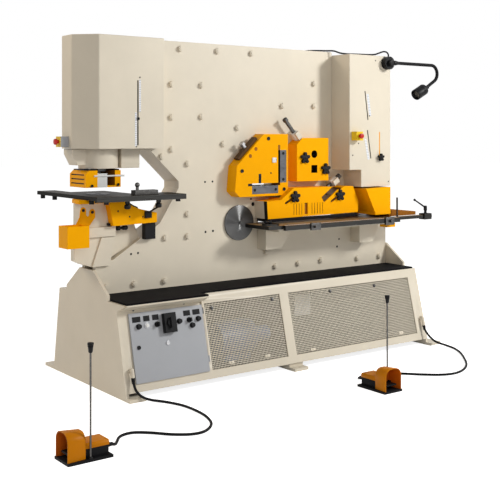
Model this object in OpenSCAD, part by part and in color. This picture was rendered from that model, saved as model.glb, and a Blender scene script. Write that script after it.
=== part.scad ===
// Hydraulic ironworker: punch, angle shear, bar shear, flat shear and notcher on one stand
// X runs along the machine to the right, Y to the back, Z up; the origin is on the floor, mid stand

/* [Stand] */
// Length over both end plates
base_len = 2656; // [2400:1:2900]
// Thickness of an end plate
end_t = 20; // [12:1:30]
// Height of the deck above the floor
deck_z = 577; // [540:1:610]
// Gap under the stand panels
plinth_z = 45; // [35:1:60]
// Mid-plane to the top of the front panel
front_top = 398; // [370:1:420]
// Mid-plane to the foot of the front panel
front_bottom = 530; // [500:1:550]
// Mid-plane to the top of the rear panel
rear_top = 398; // [370:1:430]
// Mid-plane to the foot of the rear panel
rear_bottom = 482; // [450:1:520]
// Sheet thickness of the stand
sheet_t = 6; // [4:0.5:8]
// Reach of the hood over the control cabinet
hood_reach = 107; // [80:1:130]
// Height of the hood
hood_drop = 49; // [35:1:60]
// Thickness of the rubber mat
mat_t = 12; // [6:1:16]
// Width of the gussets at the deck, from the mid-plane
gusset_y = 288; // [200:1:330]
// Height of the gussets' straight edge above the deck
gusset_rise = 35; // [20:1:60]
// Height of the gussets above the deck
gusset_h = 173; // [140:1:190]

/* [Feet] */
// Thickness of a floor plate
foot_t = 20; // [12:1:28]
// Width of an end floor plate
foot_w = 114; // [90:1:140]
// Mid-plane to the front edge of the floor plates
foot_front = 580; // [570:1:620]
// Mid-plane to the rear edge of the floor plates
foot_rear = 627; // [560:1:660]
// Width of a middle foot
mid_foot_w = 120; // [80:1:160]
// Place of the middle feet along the stand
mid_foot_x = 20; // [-60:1:60]
// Diameter of the anchor holes
anchor_d = 22; // [14:1:26]
// Edge distance of the anchor holes
anchor_in = 28; // [20:1:34]

/* [Frame plates] */
// Mid-plane to the outer face of a plate
plate_half = 95; // [85:1:105]
// Thickness of a plate
plate_t = 40; // [30:1:45]
// Height of the top edge
top_z = 2265; // [2200:1:2320]
// Punch axis along the machine
punch_x = -1240; // [-1260:1:-1220]
// Throat depth from the punch axis
throat_depth = 564; // [520:1:600]
// Height of the throat's upper inner corner
throat_hi_z = 1305; // [1290:1:1330]
// Height of the throat's lower inner corner
throat_lo_z = 1260; // [1240:1:1275]
// Height of the upper jaw's lower edge
jaw_z = 1523; // [1500:1:1540]
// Height of the lower jaw at its tip
lower_jaw_z = 806; // [790:1:830]
// Pivot axis along the machine
pivot_x = -169; // [-190:1:-150]
// Pivot axis above the floor
pivot_z = 995; // [980:1:1010]
// Radius of the pivot pin
pin_r = 75; // [60:1:85]
// Radius of the pivot caps
cap_r = 126; // [110:1:140]
// Thickness of the pivot caps
cap_t = 16; // [8:1:24]
// Running clearance of pins and rods
fit = 0.05; // [0.02:0.01:0.1]
// Radius of a frame bolt head
bolt_r = 18; // [12:1:24]
// Height of a frame bolt head
bolt_h = 14; // [8:1:20]

/* [Shear] */
// Side gap between the rocking arm and the plates
arm_gap = 5; // [2:0.5:8]
// Clearance between the blade faces
blade_gap = 0.4; // [0.3:0.1:0.8]
// Height of the shear table
table_z = 985; // [975:1:1000]
// Opening of the flat shear
flat_open = 60; // [40:1:70]
// Left end of the flat shear opening
flat_x0 = 10; // [0:1:30]
// Right end of the flat shear opening
flat_x1 = 880; // [840:1:890]
// Height of a flat blade
flat_blade_h = 45; // [30:1:50]
// Thickness of a flat blade
flat_blade_t = 24; // [16:1:28]
// Front face of the shear blocks from the mid-plane
block_front = 200; // [180:1:220]
// Corner of the angle slot along the machine
angle_x = 131; // [120:1:140]
// Corner of the angle slot above the floor
angle_z = 1259; // [1250:1:1265]
// Width of the angle slot
angle_slot = 18; // [12:1:22]
// Leg of the angle slot
angle_leg = 255; // [230:1:260]
// Width of an angle blade
angle_blade_w = 58; // [40:1:60]
// Round bar hole radius
round_r = 28; // [20:1:32]
// Square bar hole width
square_w = 56; // [40:1:60]
// Bar shear axis along the machine
bar_x = 458; // [450:1:470]
// Height of the round bar hole
round_z = 1480; // [1470:1:1490]
// Height of the square bar hole
square_z = 1370; // [1362:1:1380]
// Travel of the shear cylinder axis from the pivot
rod_reach = 1114; // [1100:1:1130]
// Radius of the shear cylinder rod
rod_r = 50; // [40:1:55]

/* [Guards] */
// Front face of the flat shear guard from the mid-plane
guard_front = 250; // [235:1:270]
// Thickness of the flat shear guard
guard_t = 10; // [6:1:14]
// Slope of the guard slots
slot_angle = 28; // [20:1:34]
// Length of a guard slot
slot_len = 92; // [80:1:100]
// Width of a guard slot
slot_w = 18; // [17:1:22]
// Front face of the notcher guard from the mid-plane
notch_front = 330; // [310:1:350]
// Sheet thickness of covers and guards
cover_t = 3; // [2:0.5:5]
// Radius of a star knob
knob_r = 43; // [36:1:45]
// Radius of a knob stud
stud_r = 7; // [5:0.5:8]

/* [Covers] */
// Depth of the punch cover from the mid-plane
left_cover_y = 200; // [185:1:220]
// Left face of the punch cover from the punch axis
left_cover_out = 227; // [215:1:240]
// Right edge of the punch cover from the punch axis
left_cover_in = 387; // [375:1:395]
// Corner chamfer of the punch cover
left_cover_c = 130; // [100:1:140]
// Lower edge of the punch cover
left_cover_z0 = 1535; // [1525:1:1550]
// Front face of the shear cover from the mid-plane
right_cover_y = 295; // [280:1:310]
// Rear face of the shear cover from the mid-plane
right_cover_back = 235; // [200:1:260]
// Left face of the shear cover
right_cover_x0 = 727; // [720:1:735]
// Right face of the shear cover
right_cover_x1 = 1163; // [1150:1:1180]
// Lower edge of the shear cover
right_cover_z0 = 1226; // [1222:1:1240]
// Top of the shear cover
right_cover_z1 = 2240; // [2200:1:2260]
// Width of a stroke slot
stroke_w = 10; // [8:1:14]

/* [Punch] */
// Radius of the punch cylinder
punch_cyl_r = 130; // [125:1:135]
// Lower end of the punch cylinder
punch_cyl_z = 1405; // [1400:1:1412]
// Radius of the ram
ram_r = 60; // [50:1:65]
// Radius of the punch nut
nut_r = 55; // [45:1:57]
// Radius of the punch
punch_r = 20; // [10:1:25]
// Lower end of the punch
punch_z = 1302; // [1298:1:1320]
// Height of the punch table
punch_table_z = 1236; // [1230:1:1240]
// Thickness of the punch table
punch_table_t = 25; // [18:1:30]
// Radius of the die
die_r = 80; // [60:1:90]
// Radius of the die hole
die_hole_r = 22; // [21:0.5:28]
// Height of the stripper's underside
stripper_z = 1284; // [1278:1:1290]
// Height of the stripper
stripper_h = 110; // [100:1:112]
// Half depth of the stripper
stripper_y = 115; // [105:1:120]
// Radius of the stripper guide rods
guide_r = 12; // [8:1:14]

/* [Cabinet] */
// Left edge of the cabinet door
door_x0 = -1253; // [-1270:1:-1240]
// Right edge of the cabinet door
door_x1 = -709; // [-720:1:-700]
// Lower edge of the door up the panel
door_lo = 50; // [40:1:60]
// Upper edge of the door up the panel
door_hi = 479; // [460:1:490]
// Thickness of the door
door_t = 12; // [8:1:16]
// Depth of the control cabinet
cabinet_depth = 170; // [120:1:200]

/* [Pedals and cables] */
// Length of a pedal
pedal_len = 250; // [230:1:270]
// Width of a pedal
pedal_w = 155; // [140:1:170]
// Height of a pedal hood
pedal_h = 145; // [130:1:160]
// Height of a carrying rod
carry_h = 590; // [500:1:650]
// Radius of a pedal cable
cable_r = 8; // [6:0.5:9]
// Radius of the lamp lead
lead_r = 4; // [3:0.5:5]

/* [Hidden] */
$fn = 64;
eps = 1;
half_len = base_len / 2;
x_in = half_len - end_t;
lean = atan((front_bottom - front_top) / (deck_z - plinth_z));
rear_lean = atan((rear_bottom - rear_top) / (deck_z - plinth_z));
panel_h = (deck_z - plinth_z) / cos(lean);
rear_h = (deck_z - plinth_z - sheet_t) / cos(rear_lean);
gusset_top = deck_z + gusset_h;
plate_in = plate_half - plate_t;
arm_half = plate_in - arm_gap;

// Places are drawn for a half length of 1328, a rod reach of 1114, a jaw at 1523 and a top at 2265
split_x = -400;
end_x = 1100;
left_dx = 1328 - half_len;
right_dx = rod_reach - 1114;
function rx(x) = x + right_dx * (x - pivot_x) / 1114;
function along(p) = [for (q = p) [rx(q[0]), q[1]]];
function moved(p, d) = [for (q = p) [q[0] + d, q[1]]];
function up(z) = z < 1523 ? z : jaw_z + (z - 1523) * (top_z - jaw_z) / (2265 - 1523);
function place_x(x) = x < split_x ? x + left_dx : x > end_x ? x - left_dx : x < 0 ? x : rx(x);
ram_x = punch_x + left_dx;
flat_r = rx(flat_x1);
angle_c = rx(angle_x);
bar_c = rx(bar_x);
angle_dx = angle_c - angle_x;
bar_dx = bar_c - bar_x;
cover_l = right_cover_x0 + right_dx;
cover_r = right_cover_x1 + right_dx;
door_l = door_x0 + left_dx;
door_r = door_x1 + left_dx;
throat_x = ram_x + throat_depth;
cyl_x = pivot_x + rod_reach;

// Colours
cream = [0.86, 0.82, 0.73];
yellow = [1, 0.7, 0.02];
steel = [0.62, 0.63, 0.65];
dark = [0.27, 0.27, 0.29];
black = [0.08, 0.08, 0.09];
red = [0.75, 0.08, 0.07];
grey = [0.62, 0.62, 0.65];
blue = [0.2, 0.38, 0.62];
orange = [0.85, 0.5, 0.05];

// Mid-plane to the front panel and to the rear panel at a height
function front_y(z) = front_top + (deck_z - z) * tan(lean);
function rear_y(z) = rear_top + (deck_z - z) * tan(rear_lean);

// Box between two opposite corners
module block(lo, hi) {
    translate(lo) cube(hi - lo);
}

// Round bars along each axis
module bar_x_dir(y, z, r, x0, x1) {
    translate([x0, y, z]) rotate([0, 90, 0]) cylinder(r = r, h = x1 - x0);
}
module bar_y_dir(x, z, r, y0, y1) {
    translate([x, y1, z]) rotate([90, 0, 0]) cylinder(r = r, h = y1 - y0);
}
module bar_z_dir(x, y, r, z0, z1) {
    translate([x, y, z0]) cylinder(r = r, h = z1 - z0);
}

// Outline in X and Z made thick along Y, and outline in Y and Z made thick along X
module slab_y(y0, y1) {
    translate([0, y1, 0]) rotate([90, 0, 0]) linear_extrude(y1 - y0) children();
}
module slab_x(x0, x1) {
    translate([x0, 0, 0]) rotate([90, 0, 90]) linear_extrude(x1 - x0) children();
}

// Frame of the leaning front panel: x along the stand, y inwards, z up the panel
module on_front() {
    translate([0, -front_bottom, plinth_z]) rotate([-lean, 0, 0]) children();
}

// Star knob with its axis along -Y, its back on y = 0, and a stud bore
lobe_count = 5;
tip_share = 0.17;
core_share = 0.48;
bore_share = 0.7;
knob_t = 18;
module star_knob(bore, r) {
    difference() {
        slab_y(-knob_t, 0) polygon([for (i = [0 : lobe_count - 1], k = [0 : 2])
            let (a = 90 + 360 / lobe_count * (i + [-0.5, -tip_share, tip_share][k]))
            r * [core_share, 1, 1][k] * [cos(a), sin(a)]]);
        if (bore > 0)
            bar_y_dir(0, 0, bore, -knob_t * bore_share, eps);
    }
}

// Hexagonal screw head with its axis along Z
module hex_head(r, h) {
    cylinder(r = r, h = h, $fn = 6);
}

// Stand

mid_leg_front = front_bottom - 2 * sheet_t;
mid_leg_rear = rear_bottom - 2 * sheet_t;
mid_leg_depth = 90;
anchor_front = foot_front - anchor_in;
anchor_rear = foot_rear - anchor_in;
anchor_side = 35;

module end_outline(hooded) {
    nose = hooded
        ? [[-front_y(deck_z - hood_drop), deck_z - hood_drop], [-front_top - hood_reach, deck_z]]
        : [[-front_top, deck_z]];
    rise = deck_z + gusset_rise;
    polygon(concat([[-front_y(foot_t), foot_t]], nose, [
        [-gusset_y, deck_z], [-gusset_y, rise], [-plate_half, gusset_top], [plate_half, gusset_top],
        [gusset_y, rise], [gusset_y, deck_z], [rear_top, deck_z], [rear_y(foot_t), foot_t]]));
}

module floor_foot(x0) {
    difference() {
        block([x0, -foot_front, 0], [x0 + foot_w, foot_rear, foot_t]);
        for (y = [-anchor_front, anchor_rear])
            bar_z_dir(x0 + foot_w - anchor_side, y, anchor_d / 2, -eps, foot_t + eps);
    }
}

module middle_foot() {
    x0 = mid_foot_x - mid_foot_w / 2;
    x1 = x0 + mid_foot_w;
    rear = rear_bottom + foot_front - front_bottom;
    difference() {
        block([x0, -foot_front, 0], [x1, rear, foot_t]);
        for (y = [-anchor_front, rear - anchor_in])
            bar_z_dir(mid_foot_x, y, anchor_d / 2, -eps, foot_t + eps);
    }
    block([x0, -mid_leg_front, foot_t], [x1, -mid_leg_front + mid_leg_depth, plinth_z]);
    block([x0, mid_leg_rear - mid_leg_depth, foot_t], [x1, mid_leg_rear, plinth_z]);
}

module end_plates() {
    color(cream) {
        slab_x(-half_len, -x_in) end_outline(true);
        slab_x(x_in, half_len) end_outline(false);
        floor_foot(-half_len);
        floor_foot(x_in);
        middle_foot();
    }
}

// Openings of the front panel, up the panel
grille_x = [[door_r + 29, -47], [30, x_in - 77]];
grille_lo = 52;
grille_hi = 484;
grille_t = 2;
grille_lap = 14;
door_gap = 12;
hinge_r = 6;
hinge_pin_r = 3;
hinge_off = 7;
hinge_len = 40;
hinge_at = [door_lo + 60, door_hi - 60];
hinge_x = door_r + hinge_off;
hood_x1 = door_r + 9;
hood_lip = 8;
gland_r = 12;
gland_out = 25;
gland_lo = [92, 104];
gland_hi = [138, 163];
gland_x = [27 - x_in, x_in - 19];

module stand_front() {
    color(cream) {
        on_front() difference() {
            block([-x_in, 0, 0], [x_in, sheet_t, panel_h]);
            block([door_l + door_gap, -eps, door_lo + door_gap],
                [door_r - door_gap, sheet_t + eps, door_hi - door_gap]);
            for (g = grille_x)
                block([g[0], -eps, grille_lo], [g[1], sheet_t + eps, grille_hi]);
        }
        slab_x(-x_in, hood_x1) polygon([[-front_top - hood_reach, deck_z],
            [-front_top - hood_reach, deck_z - hood_lip], [-front_y(deck_z - hood_drop),
                deck_z - hood_drop],
            [-front_top, deck_z]]);
        on_front() for (z = hinge_at) {
            translate([hinge_x, -hinge_off, z]) cylinder(r = hinge_pin_r, h = 2 * hinge_len);
            translate([hinge_x, -hinge_off, z + hinge_len]) cylinder(r = hinge_r, h = hinge_len);
            block([hinge_x - hinge_pin_r, -hinge_off, z + hinge_len], [hinge_x + hinge_pin_r, 0,
                z + 2 * hinge_len]);
        }
        on_front() for (i = [0, 1]) {
            translate([gland_x[i], 0, gland_hi[i]]) rotate([90, 0, 0]) cylinder(r = gland_r, h = gland_out);
            translate([gland_x[i], -gland_out, gland_hi[i]]) sphere(r = gland_r);
            bar_z_dir(gland_x[i], -gland_out, gland_r, gland_lo[i], gland_hi[i]);
        }
    }
}

pan_front = front_bottom - 2 * sheet_t;
pan_rear = rear_bottom - 2 * sheet_t;
deck_front = front_top - sheet_t / cos(lean);
cabinet_lo = door_lo + 45;
cabinet_t = 2;
panel_in = 3;

module stand_shell() {
    color(cream) {
        block([-x_in, -deck_front, deck_z - sheet_t], [x_in, rear_top, deck_z]);
        block([-x_in, -pan_front, plinth_z], [x_in, pan_rear, plinth_z + sheet_t]);
        translate([0, rear_bottom, plinth_z]) rotate([rear_lean, 0, 0])
            block([-x_in, -sheet_t, 0], [x_in, 0, rear_h]);
        on_front() difference() {
            block([door_l, sheet_t, cabinet_lo], [door_r, cabinet_depth, door_hi]);
            block([door_l + cabinet_t, sheet_t - eps, cabinet_lo + cabinet_t],
                [door_r - cabinet_t, cabinet_depth - cabinet_t, door_hi - cabinet_t]);
        }
    }
}

mat_front = 4;
mat_gap = 1;
mat_step_x = hood_x1;

module shelf_mat() {
    color(black) block([-x_in + mat_gap, -front_top + mat_front, deck_z],
        [x_in - mat_gap, -plate_half - mat_gap, deck_z + mat_t]);
    color(black) block([-x_in + mat_gap, -front_top - hood_reach + mat_front, deck_z],
        [mat_step_x, -front_top + mat_front, deck_z + mat_t]);
}

module front_grilles() {
    color(cream) on_front() for (g = grille_x)
        block([g[0] - grille_lap, sheet_t, grille_lo - grille_lap],
            [g[1] + grille_lap, sheet_t + grille_t, grille_hi + grille_lap]);
}

// Main frame

saddle_x = ram_x + 258;
plate_foot_x = 88 - x_in;
plate_foot_z = 715;
jaw_low = moved([[-1181, lower_jaw_z], [-1085, 865], [-824, 1028]], left_dx);
upper_jaw_x = left_dx - 906;
jaw_top_drop = 65;
step_x = ram_x + left_cover_in + cover_t;
ledge_z = 1380;
ledge_x = cover_l - 2;
column_x = 1010 + right_dx;
shoulder_z = 900;

module plate_outline() {
    polygon(concat([[plate_foot_x, deck_z], [-x_in, plate_foot_z], [-x_in, lower_jaw_z]], jaw_low, [
        [throat_x, throat_lo_z], [throat_x, throat_hi_z], [upper_jaw_x, jaw_z], [saddle_x, jaw_z],
        [saddle_x, top_z - jaw_top_drop], [step_x, top_z - jaw_top_drop], [step_x, top_z], [ledge_x, top_z],
        [ledge_x, ledge_z], [column_x, ledge_z], [column_x, shoulder_z], [x_in, shoulder_z], [x_in,
            deck_z]]));
}

// Windows that the stock passes through
angle_win = moved([[-160, 1185], [205, 1520]], angle_dx);
bar_win = [[bar_c - 80, 1318], [bar_c + 80, 1535]];
bar_out = [[bar_c - 85, 1240], [bar_c + 150, 1540]];
flat_out_z = 870;
flat_blade_x = [flat_x0 + 20, flat_r - 10];

module window(lo, hi, y0, y1) {
    block([lo[0], y0, lo[1]], [hi[0], y1, hi[1]]);
}

module front_plate() {
    color(cream) difference() {
        slab_y(-plate_half, -plate_in) plate_outline();
        bar_y_dir(pivot_x, pivot_z, pin_r, -plate_half - eps, eps);
        window([flat_x0, table_z], [flat_r, table_z + flat_open], -plate_half - eps, eps);
        window([flat_blade_x[0], table_z - flat_blade_h], [flat_blade_x[1], table_z + eps],
            -plate_in - flat_blade_t, eps);
        window(angle_win[0], angle_win[1], -plate_half - eps, eps);
        window(bar_win[0], bar_win[1], -plate_half - eps, eps);
    }
}

module rear_plate() {
    color(cream) difference() {
        slab_y(plate_in, plate_half) plate_outline();
        bar_y_dir(pivot_x, pivot_z, pin_r, -eps, plate_half + eps);
        window([flat_x0, flat_out_z], [flat_r, table_z + flat_open], -eps, plate_half + eps);
        window(angle_win[0], angle_win[1], -eps, plate_half + eps);
        window(bar_out[0], bar_out[1], -eps, plate_half + eps);
    }
}

saddle_w = 138;
saddle_top = 2000;
spacers = [[[left_dx - 840, top_z - 95], [ledge_x - 25, top_z - 15]],
    [[left_dx - 940, up(1560)], [left_dx - 720, up(2150)]], [[128 - x_in, 590], [x_in - 58, 720]],
    [[left_dx - 1000, 740], [left_dx - 800, 840]]];
saddle_hi = up(saddle_top);
liner_t = 25;
liner_pts = concat(jaw_low, [[throat_x, throat_lo_z], [throat_x, throat_hi_z], [upper_jaw_x, jaw_z]]);

module frame_spacers() {
    color(cream) {
        for (s = spacers)
            block([s[0][0], -plate_in, s[0][1]], [s[1][0], plate_in, s[1][1]]);
        slab_y(-plate_in, plate_in) polygon(concat(liner_pts, [for (i = [len(liner_pts) - 1 : -1 : 0])
            liner_pts[i] + [liner_t, 0]]));
        difference() {
            block([saddle_x - saddle_w, -plate_half, punch_cyl_z], [saddle_x, plate_half, saddle_hi]);
            bar_z_dir(ram_x, 0, punch_cyl_r, punch_cyl_z - eps, saddle_hi + eps);
        }
    }
}

centre_r = 10;

module pivot_pin() {
    color(steel) difference() {
        union() {
            bar_y_dir(pivot_x, pivot_z, pin_r, -plate_half, plate_half);
            bar_y_dir(pivot_x, pivot_z, cap_r, -plate_half - cap_t, -plate_half);
            bar_y_dir(pivot_x, pivot_z, cap_r, plate_half, plate_half + cap_t);
        }
        bar_y_dir(pivot_x, pivot_z, centre_r, -plate_half - cap_t - eps, -plate_half);
    }
}

// Tie bolts of the frame, in X and Z
bolt_at = [[-665, 2215], [-355, 2215], [-55, 2215], [-735, 1970], [-490, 1970], [-735, 1745], [-490, 1750],
    [-735, 1525], [-815, 1478], [-605, 1425], [-180, 1675], [-305, 1560], [230, 1840], [540, 1845], [540,
        2015],
    [-605, 1078], [-605, 925], [-785, 925], [-1025, 635], [-790, 635], [-1235, 635], [77, 765], [165, 655],
    [385, 660], [610, 665], [990, 650], [1230, 650]];
flat_stud = along([[227, 1172], [667, 1168]]);
bar_stud = moved([[362, 1453], [565, 1367]], bar_dx);
stud_end = 12;

module frame_bolts() {
    color(cream) for (b = bolt_at, side = [-1, 1])
        translate([place_x(b[0]), side * plate_half, up(b[1])]) rotate([-side * 90, 0, 0])
            hex_head(bolt_r, bolt_h);
    color(steel) for (s = flat_stud)
        bar_y_dir(s[0], s[1], stud_r, -guard_front - stud_end, -plate_half);
    color(steel) for (s = bar_stud)
        bar_y_dir(s[0], s[1], stud_r, -block_front - stud_end, -block_front);
}

// Shear group

table_t = 25;
table_front = 388;
table_x0 = -120;
table_corner = pivot_x + cap_r + 6;
table_x1 = 1150 + right_dx;
rail_y = [-365, -325];
rail_x1 = 1560 + right_dx;
rail_t = 24;
rest_t = 25;
rest_front = 350;
bracket_front = 200;
bracket_l = [[0, 0], [215, 0], [215, -40], [150, -140], [0, -140]];
bracket_r = moved([[920, 0], [1120, 0], [1120, -50], [1060, -150], [920, -150]], right_dx);
notch_bed = [[1015 + right_dx, 1200 + right_dx], [-92, 92]];
notch_hole = [[1030 + right_dx, 1118 + right_dx], [-46, 46]];
die_t = 40;
holder_w = 40;
holder_len = 60;
bar_axis_angle = 41;
flat_axis_angle = 56;
bar_screw_at = [318 + bar_dx, 1620];
flat_screw_at = [rx(690), 1268];
screw_r = 14;
screw_y = 150;

// Frame of a hold-down screw: z along its axis, pointing up and out
module on_screw(at, angle, y) {
    translate([at[0], -y, at[1]]) rotate([0, angle, 0]) children();
}

module screw_holder(at, angle) {
    difference() {
        on_screw(at, angle, screw_y) block([-holder_w / 2, -holder_w, -holder_len / 2],
            [holder_w / 2, screw_y - plate_half, holder_len / 2]);
        on_screw(at, angle, screw_y) translate([0, 0, -holder_len]) cylinder(r = screw_r + fit,
            h = 2 * holder_len);
    }
}

module table_brackets() {
    rest_z = table_z - table_t - rest_t;
    color(cream) {
        block([0, -rest_front, rest_z], [table_x1, -plate_half, rest_z + rest_t]);
        translate([0, 0, rest_z]) slab_y(-bracket_front, -plate_half) polygon(bracket_l);
        translate([0, 0, rest_z]) slab_y(-bracket_front, -plate_half) polygon(bracket_r);
        difference() {
            block([notch_bed[0][0], notch_bed[1][0], shoulder_z], [notch_bed[0][1], notch_bed[1][1],
                table_z - die_t]);
            block([notch_hole[0][0], notch_hole[1][0], shoulder_z - eps], [notch_hole[0][1],
                notch_hole[1][1], table_z]);
        }
        screw_holder(bar_screw_at, -bar_axis_angle);
        screw_holder(flat_screw_at, flat_axis_angle);
    }
}

angle_low = angle_z - angle_blade_w;
angle_left = angle_c - angle_leg;

module fixed_tooling() {
    color(steel) {
        window([flat_blade_x[0], table_z - flat_blade_h], [flat_blade_x[1], table_z],
            -plate_in - flat_blade_t, -arm_half - blade_gap);
        window([angle_c, angle_z + angle_slot], [angle_c + angle_blade_w, angle_z + angle_leg],
            -block_front, -arm_half - blade_gap);
        window([angle_left, angle_low], [angle_c - angle_slot, angle_z], -block_front,
            -arm_half - blade_gap);
        difference() {
            window(bar_win[0], bar_win[1], -plate_half, -arm_half - blade_gap);
            bar_y_dir(bar_c, round_z, round_r, -plate_half - eps, 0);
            square_hole(-plate_half - eps, 0);
        }
        difference() {
            block([notch_bed[0][0], notch_bed[1][0], table_z - die_t], [notch_bed[0][1], notch_bed[1][1],
                table_z]);
            block([notch_hole[0][0], notch_hole[1][0], table_z - die_t - eps],
                [notch_hole[0][1], notch_hole[1][1], table_z + eps]);
        }
        difference() {
            bar_z_dir(ram_x, 0, die_r, punch_table_z - punch_table_t, punch_table_z + die_stand);
            bar_z_dir(ram_x, 0, die_hole_r, punch_table_z - punch_table_t - eps,
                punch_table_z + die_stand + eps);
        }
    }
}

die_stand = 2;

module square_hole(y0, y1) {
    window([bar_c - square_w / 2, square_z - square_w / 2], [bar_c + square_w / 2,
        square_z + square_w / 2], y0, y1);
}

angle_block_pts = moved([[-17, 1631], [204, 1631], [204, 1184], [-231, 1184], [-274, 1223], [-257, 1405]],
    angle_dx);
bar_block = moved([[290, 1280], [599, 1602]], bar_dx);

module shear_blocks() {
    color(yellow) difference() {
        slab_y(-block_front, -plate_half) polygon(angle_block_pts);
        window([angle_c, angle_z + angle_slot], [angle_c + angle_blade_w, angle_z + angle_leg],
            -block_front - eps, 0);
        window([angle_left, angle_low], [angle_c - angle_slot, angle_z], -block_front - eps, 0);
        window([angle_left, angle_z], [angle_c, angle_z + angle_slot], -block_front - eps, 0);
        window([angle_c - angle_slot, angle_z], [angle_c, angle_z + angle_leg], -block_front - eps, 0);
    }
    color(yellow) difference() {
        window(bar_block[0], bar_block[1], -block_front, -plate_half);
        bar_y_dir(bar_c, round_z, round_r + eps, -block_front - eps, 0);
        window([bar_c - square_w / 2 - eps, square_z - square_w / 2 - eps],
            [bar_c + square_w / 2 + eps, square_z + square_w / 2 + eps], -block_front - eps, 0);
        on_screw(bar_screw_at, -bar_axis_angle, screw_y)
            block([-3 * holder_w, -2 * holder_w, -holder_len / 2 - eps], [3 * holder_w, screw_y,
                holder_len]);
        on_screw(bar_screw_at, -bar_axis_angle, screw_y)
            translate([0, 0, -holder_len - screw_tail]) cylinder(r = screw_r + 2 * eps,
                h = holder_len + screw_tail);
    }
}

notch_pts = moved([[866, 1213], [1128, 1219], [1128, 1027], [962, 1027]], right_dx);
notch_in = moved([[872, 1209], [1125, 1215], [1125, 1000], [982, 1000]], right_dx);
wing_pts = moved([[1126, 985], [1126, 1047], [1440, 1013], [1440, 985]], right_dx);
wing_y = [-301, -295];
gauge_block = [[1090 + right_dx, -330, 905], [1180 + right_dx, -250, 935]];

module notcher_guard() {
    color(yellow) union() {
        difference() {
            slab_y(-notch_front, -plate_half) polygon(notch_pts);
            slab_y(-notch_front + cover_t, -plate_half + eps) polygon(notch_in);
        }
        slab_y(wing_y[0], wing_y[1]) polygon(wing_pts);
    }
    color(yellow) block(gauge_block[0], gauge_block[1]);
}

gauge_r = 60;
gauge_at = [-60, -330];
gauge_t = 14;
clamp_at = [1185 + right_dx, -345];
clamp_r = 7;
clamp_h = 150;
front_lip = 34;
lip_w = 26;

module shear_table() {
    color(dark) {
        block([table_x0, -table_front, table_z - table_t], [table_corner, -plate_half - cap_t - 2 * eps,
            table_z]);
        block([table_corner, -table_front, table_z - table_t], [table_x1, -plate_half - eps, table_z]);
        block([flat_x0, -table_front - lip_w, table_z - front_lip], [table_x1, -table_front, table_z]);
        block([table_x1, rail_y[0], table_z - rail_t], [rail_x1, rail_y[1], table_z]);
        bar_z_dir(gauge_at[0], gauge_at[1], gauge_r, table_z, table_z + gauge_t);
        bar_z_dir(clamp_at[0], clamp_at[1], clamp_r, table_z, table_z + clamp_h);
    }
}

// Rocking arm

arm_boss = 190;
arm_top = 1600;
arm_right = 1130 + right_dx;
arm_pad_z = 1340;
arm_lift_z = 1110;
arm_pts = [[pivot_x - arm_boss, 900], [pivot_x - 110, 815], [pivot_x + 110, 815], [flat_x0 + 20, 930],
    [flat_x0 + 20, table_z + flat_open], [flat_r, table_z + flat_open], [flat_r + 20, arm_lift_z],
    [arm_right, arm_lift_z], [arm_right, 1250], [column_x, arm_pad_z], [735 + right_dx, arm_pad_z],
    [640 + right_dx, 1560], [640 + right_dx, arm_top], [-20, arm_top], [pivot_x - arm_boss, 1200]];
arm_clear = 60;
angle_strip = 40;
strip_t = 40;

module arm_angle_window(y0, y1) {
    window([angle_left, angle_z - arm_clear], [angle_c + arm_clear, angle_z + angle_slot], y0, y1);
    window([angle_c - angle_slot, angle_z - arm_clear], [angle_c + arm_clear, angle_z + angle_leg], y0, y1);
}

module arm_strips() {
    flat_lo = table_z + flat_open;
    window([flat_blade_x[0], flat_lo], [flat_blade_x[1] - 10, flat_lo + flat_blade_h],
        -arm_half, -arm_half + flat_blade_t);
    window([angle_left, angle_z + angle_slot], [angle_c - angle_slot, angle_z + angle_slot + angle_strip],
        -arm_half, -arm_half + strip_t);
    window([angle_c - angle_slot - angle_strip, angle_z + angle_slot + angle_strip],
        [angle_c - angle_slot, angle_z + angle_leg], -arm_half, -arm_half + strip_t);
    window(bar_win[0], bar_win[1], -arm_half, arm_half);
}

module shear_arm() {
    color(cream) difference() {
        slab_y(-arm_half, arm_half) polygon(arm_pts);
        bar_y_dir(pivot_x, pivot_z, pin_r + fit, -arm_half - eps, arm_half + eps);
        arm_angle_window(-arm_half - eps, arm_half + eps);
        arm_strips();
    }
}

notch_tool = [[1040 + right_dx, 1108 + right_dx], [-36, 36]];
notch_tool_z = 1040;

module moving_blades() {
    color(steel) difference() {
        arm_strips();
        bar_y_dir(bar_c, round_z, round_r, -arm_half - eps, arm_half + eps);
        square_hole(-arm_half - eps, arm_half + eps);
    }
    color(steel) block([notch_tool[0][0], notch_tool[1][0], notch_tool_z],
        [notch_tool[0][1], notch_tool[1][1], arm_lift_z]);
}

// Flat shear guard and its knobs

guard_pts = along([[-29, 1148], [99, 1154], [220, 1237], [805, 1233], [862, 1111], [855, 1031], [-20, 1021]]);
guard_in = along([[-19, 1139], [103, 1144], [224, 1227], [799, 1223], [851, 1110], [845, 1000], [-10, 1000]]);
slide_gap = 0.3;
guard_back = plate_half + slide_gap;
guard_lift = 18;
block_clear = 3;
angle_base = angle_block_pts[2][1];
angle_side = angle_block_pts[2][0];
groove_w = 5;
groove_t = 3;
groove_z = [1040, 1122];
groove_left = [for (i = [0 : 3]) 217 + i * 25];
groove_right = [for (i = [0 : 4]) 390 + i * 26];
sight = [[322, 1040], [352, 1124]];

module guard_slot(at) {
    translate([at[0], 0, at[1]]) rotate([0, -slot_angle, 0]) {
        block([-slot_len, -guard_front - eps, -slot_w / 2], [0, -guard_front + 2 * guard_t, slot_w / 2]);
        bar_y_dir(0, 0, slot_w / 2, -guard_front - eps, -guard_front + 2 * guard_t);
        bar_y_dir(-slot_len, 0, slot_w / 2, -guard_front - eps, -guard_front + 2 * guard_t);
    }
}

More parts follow.
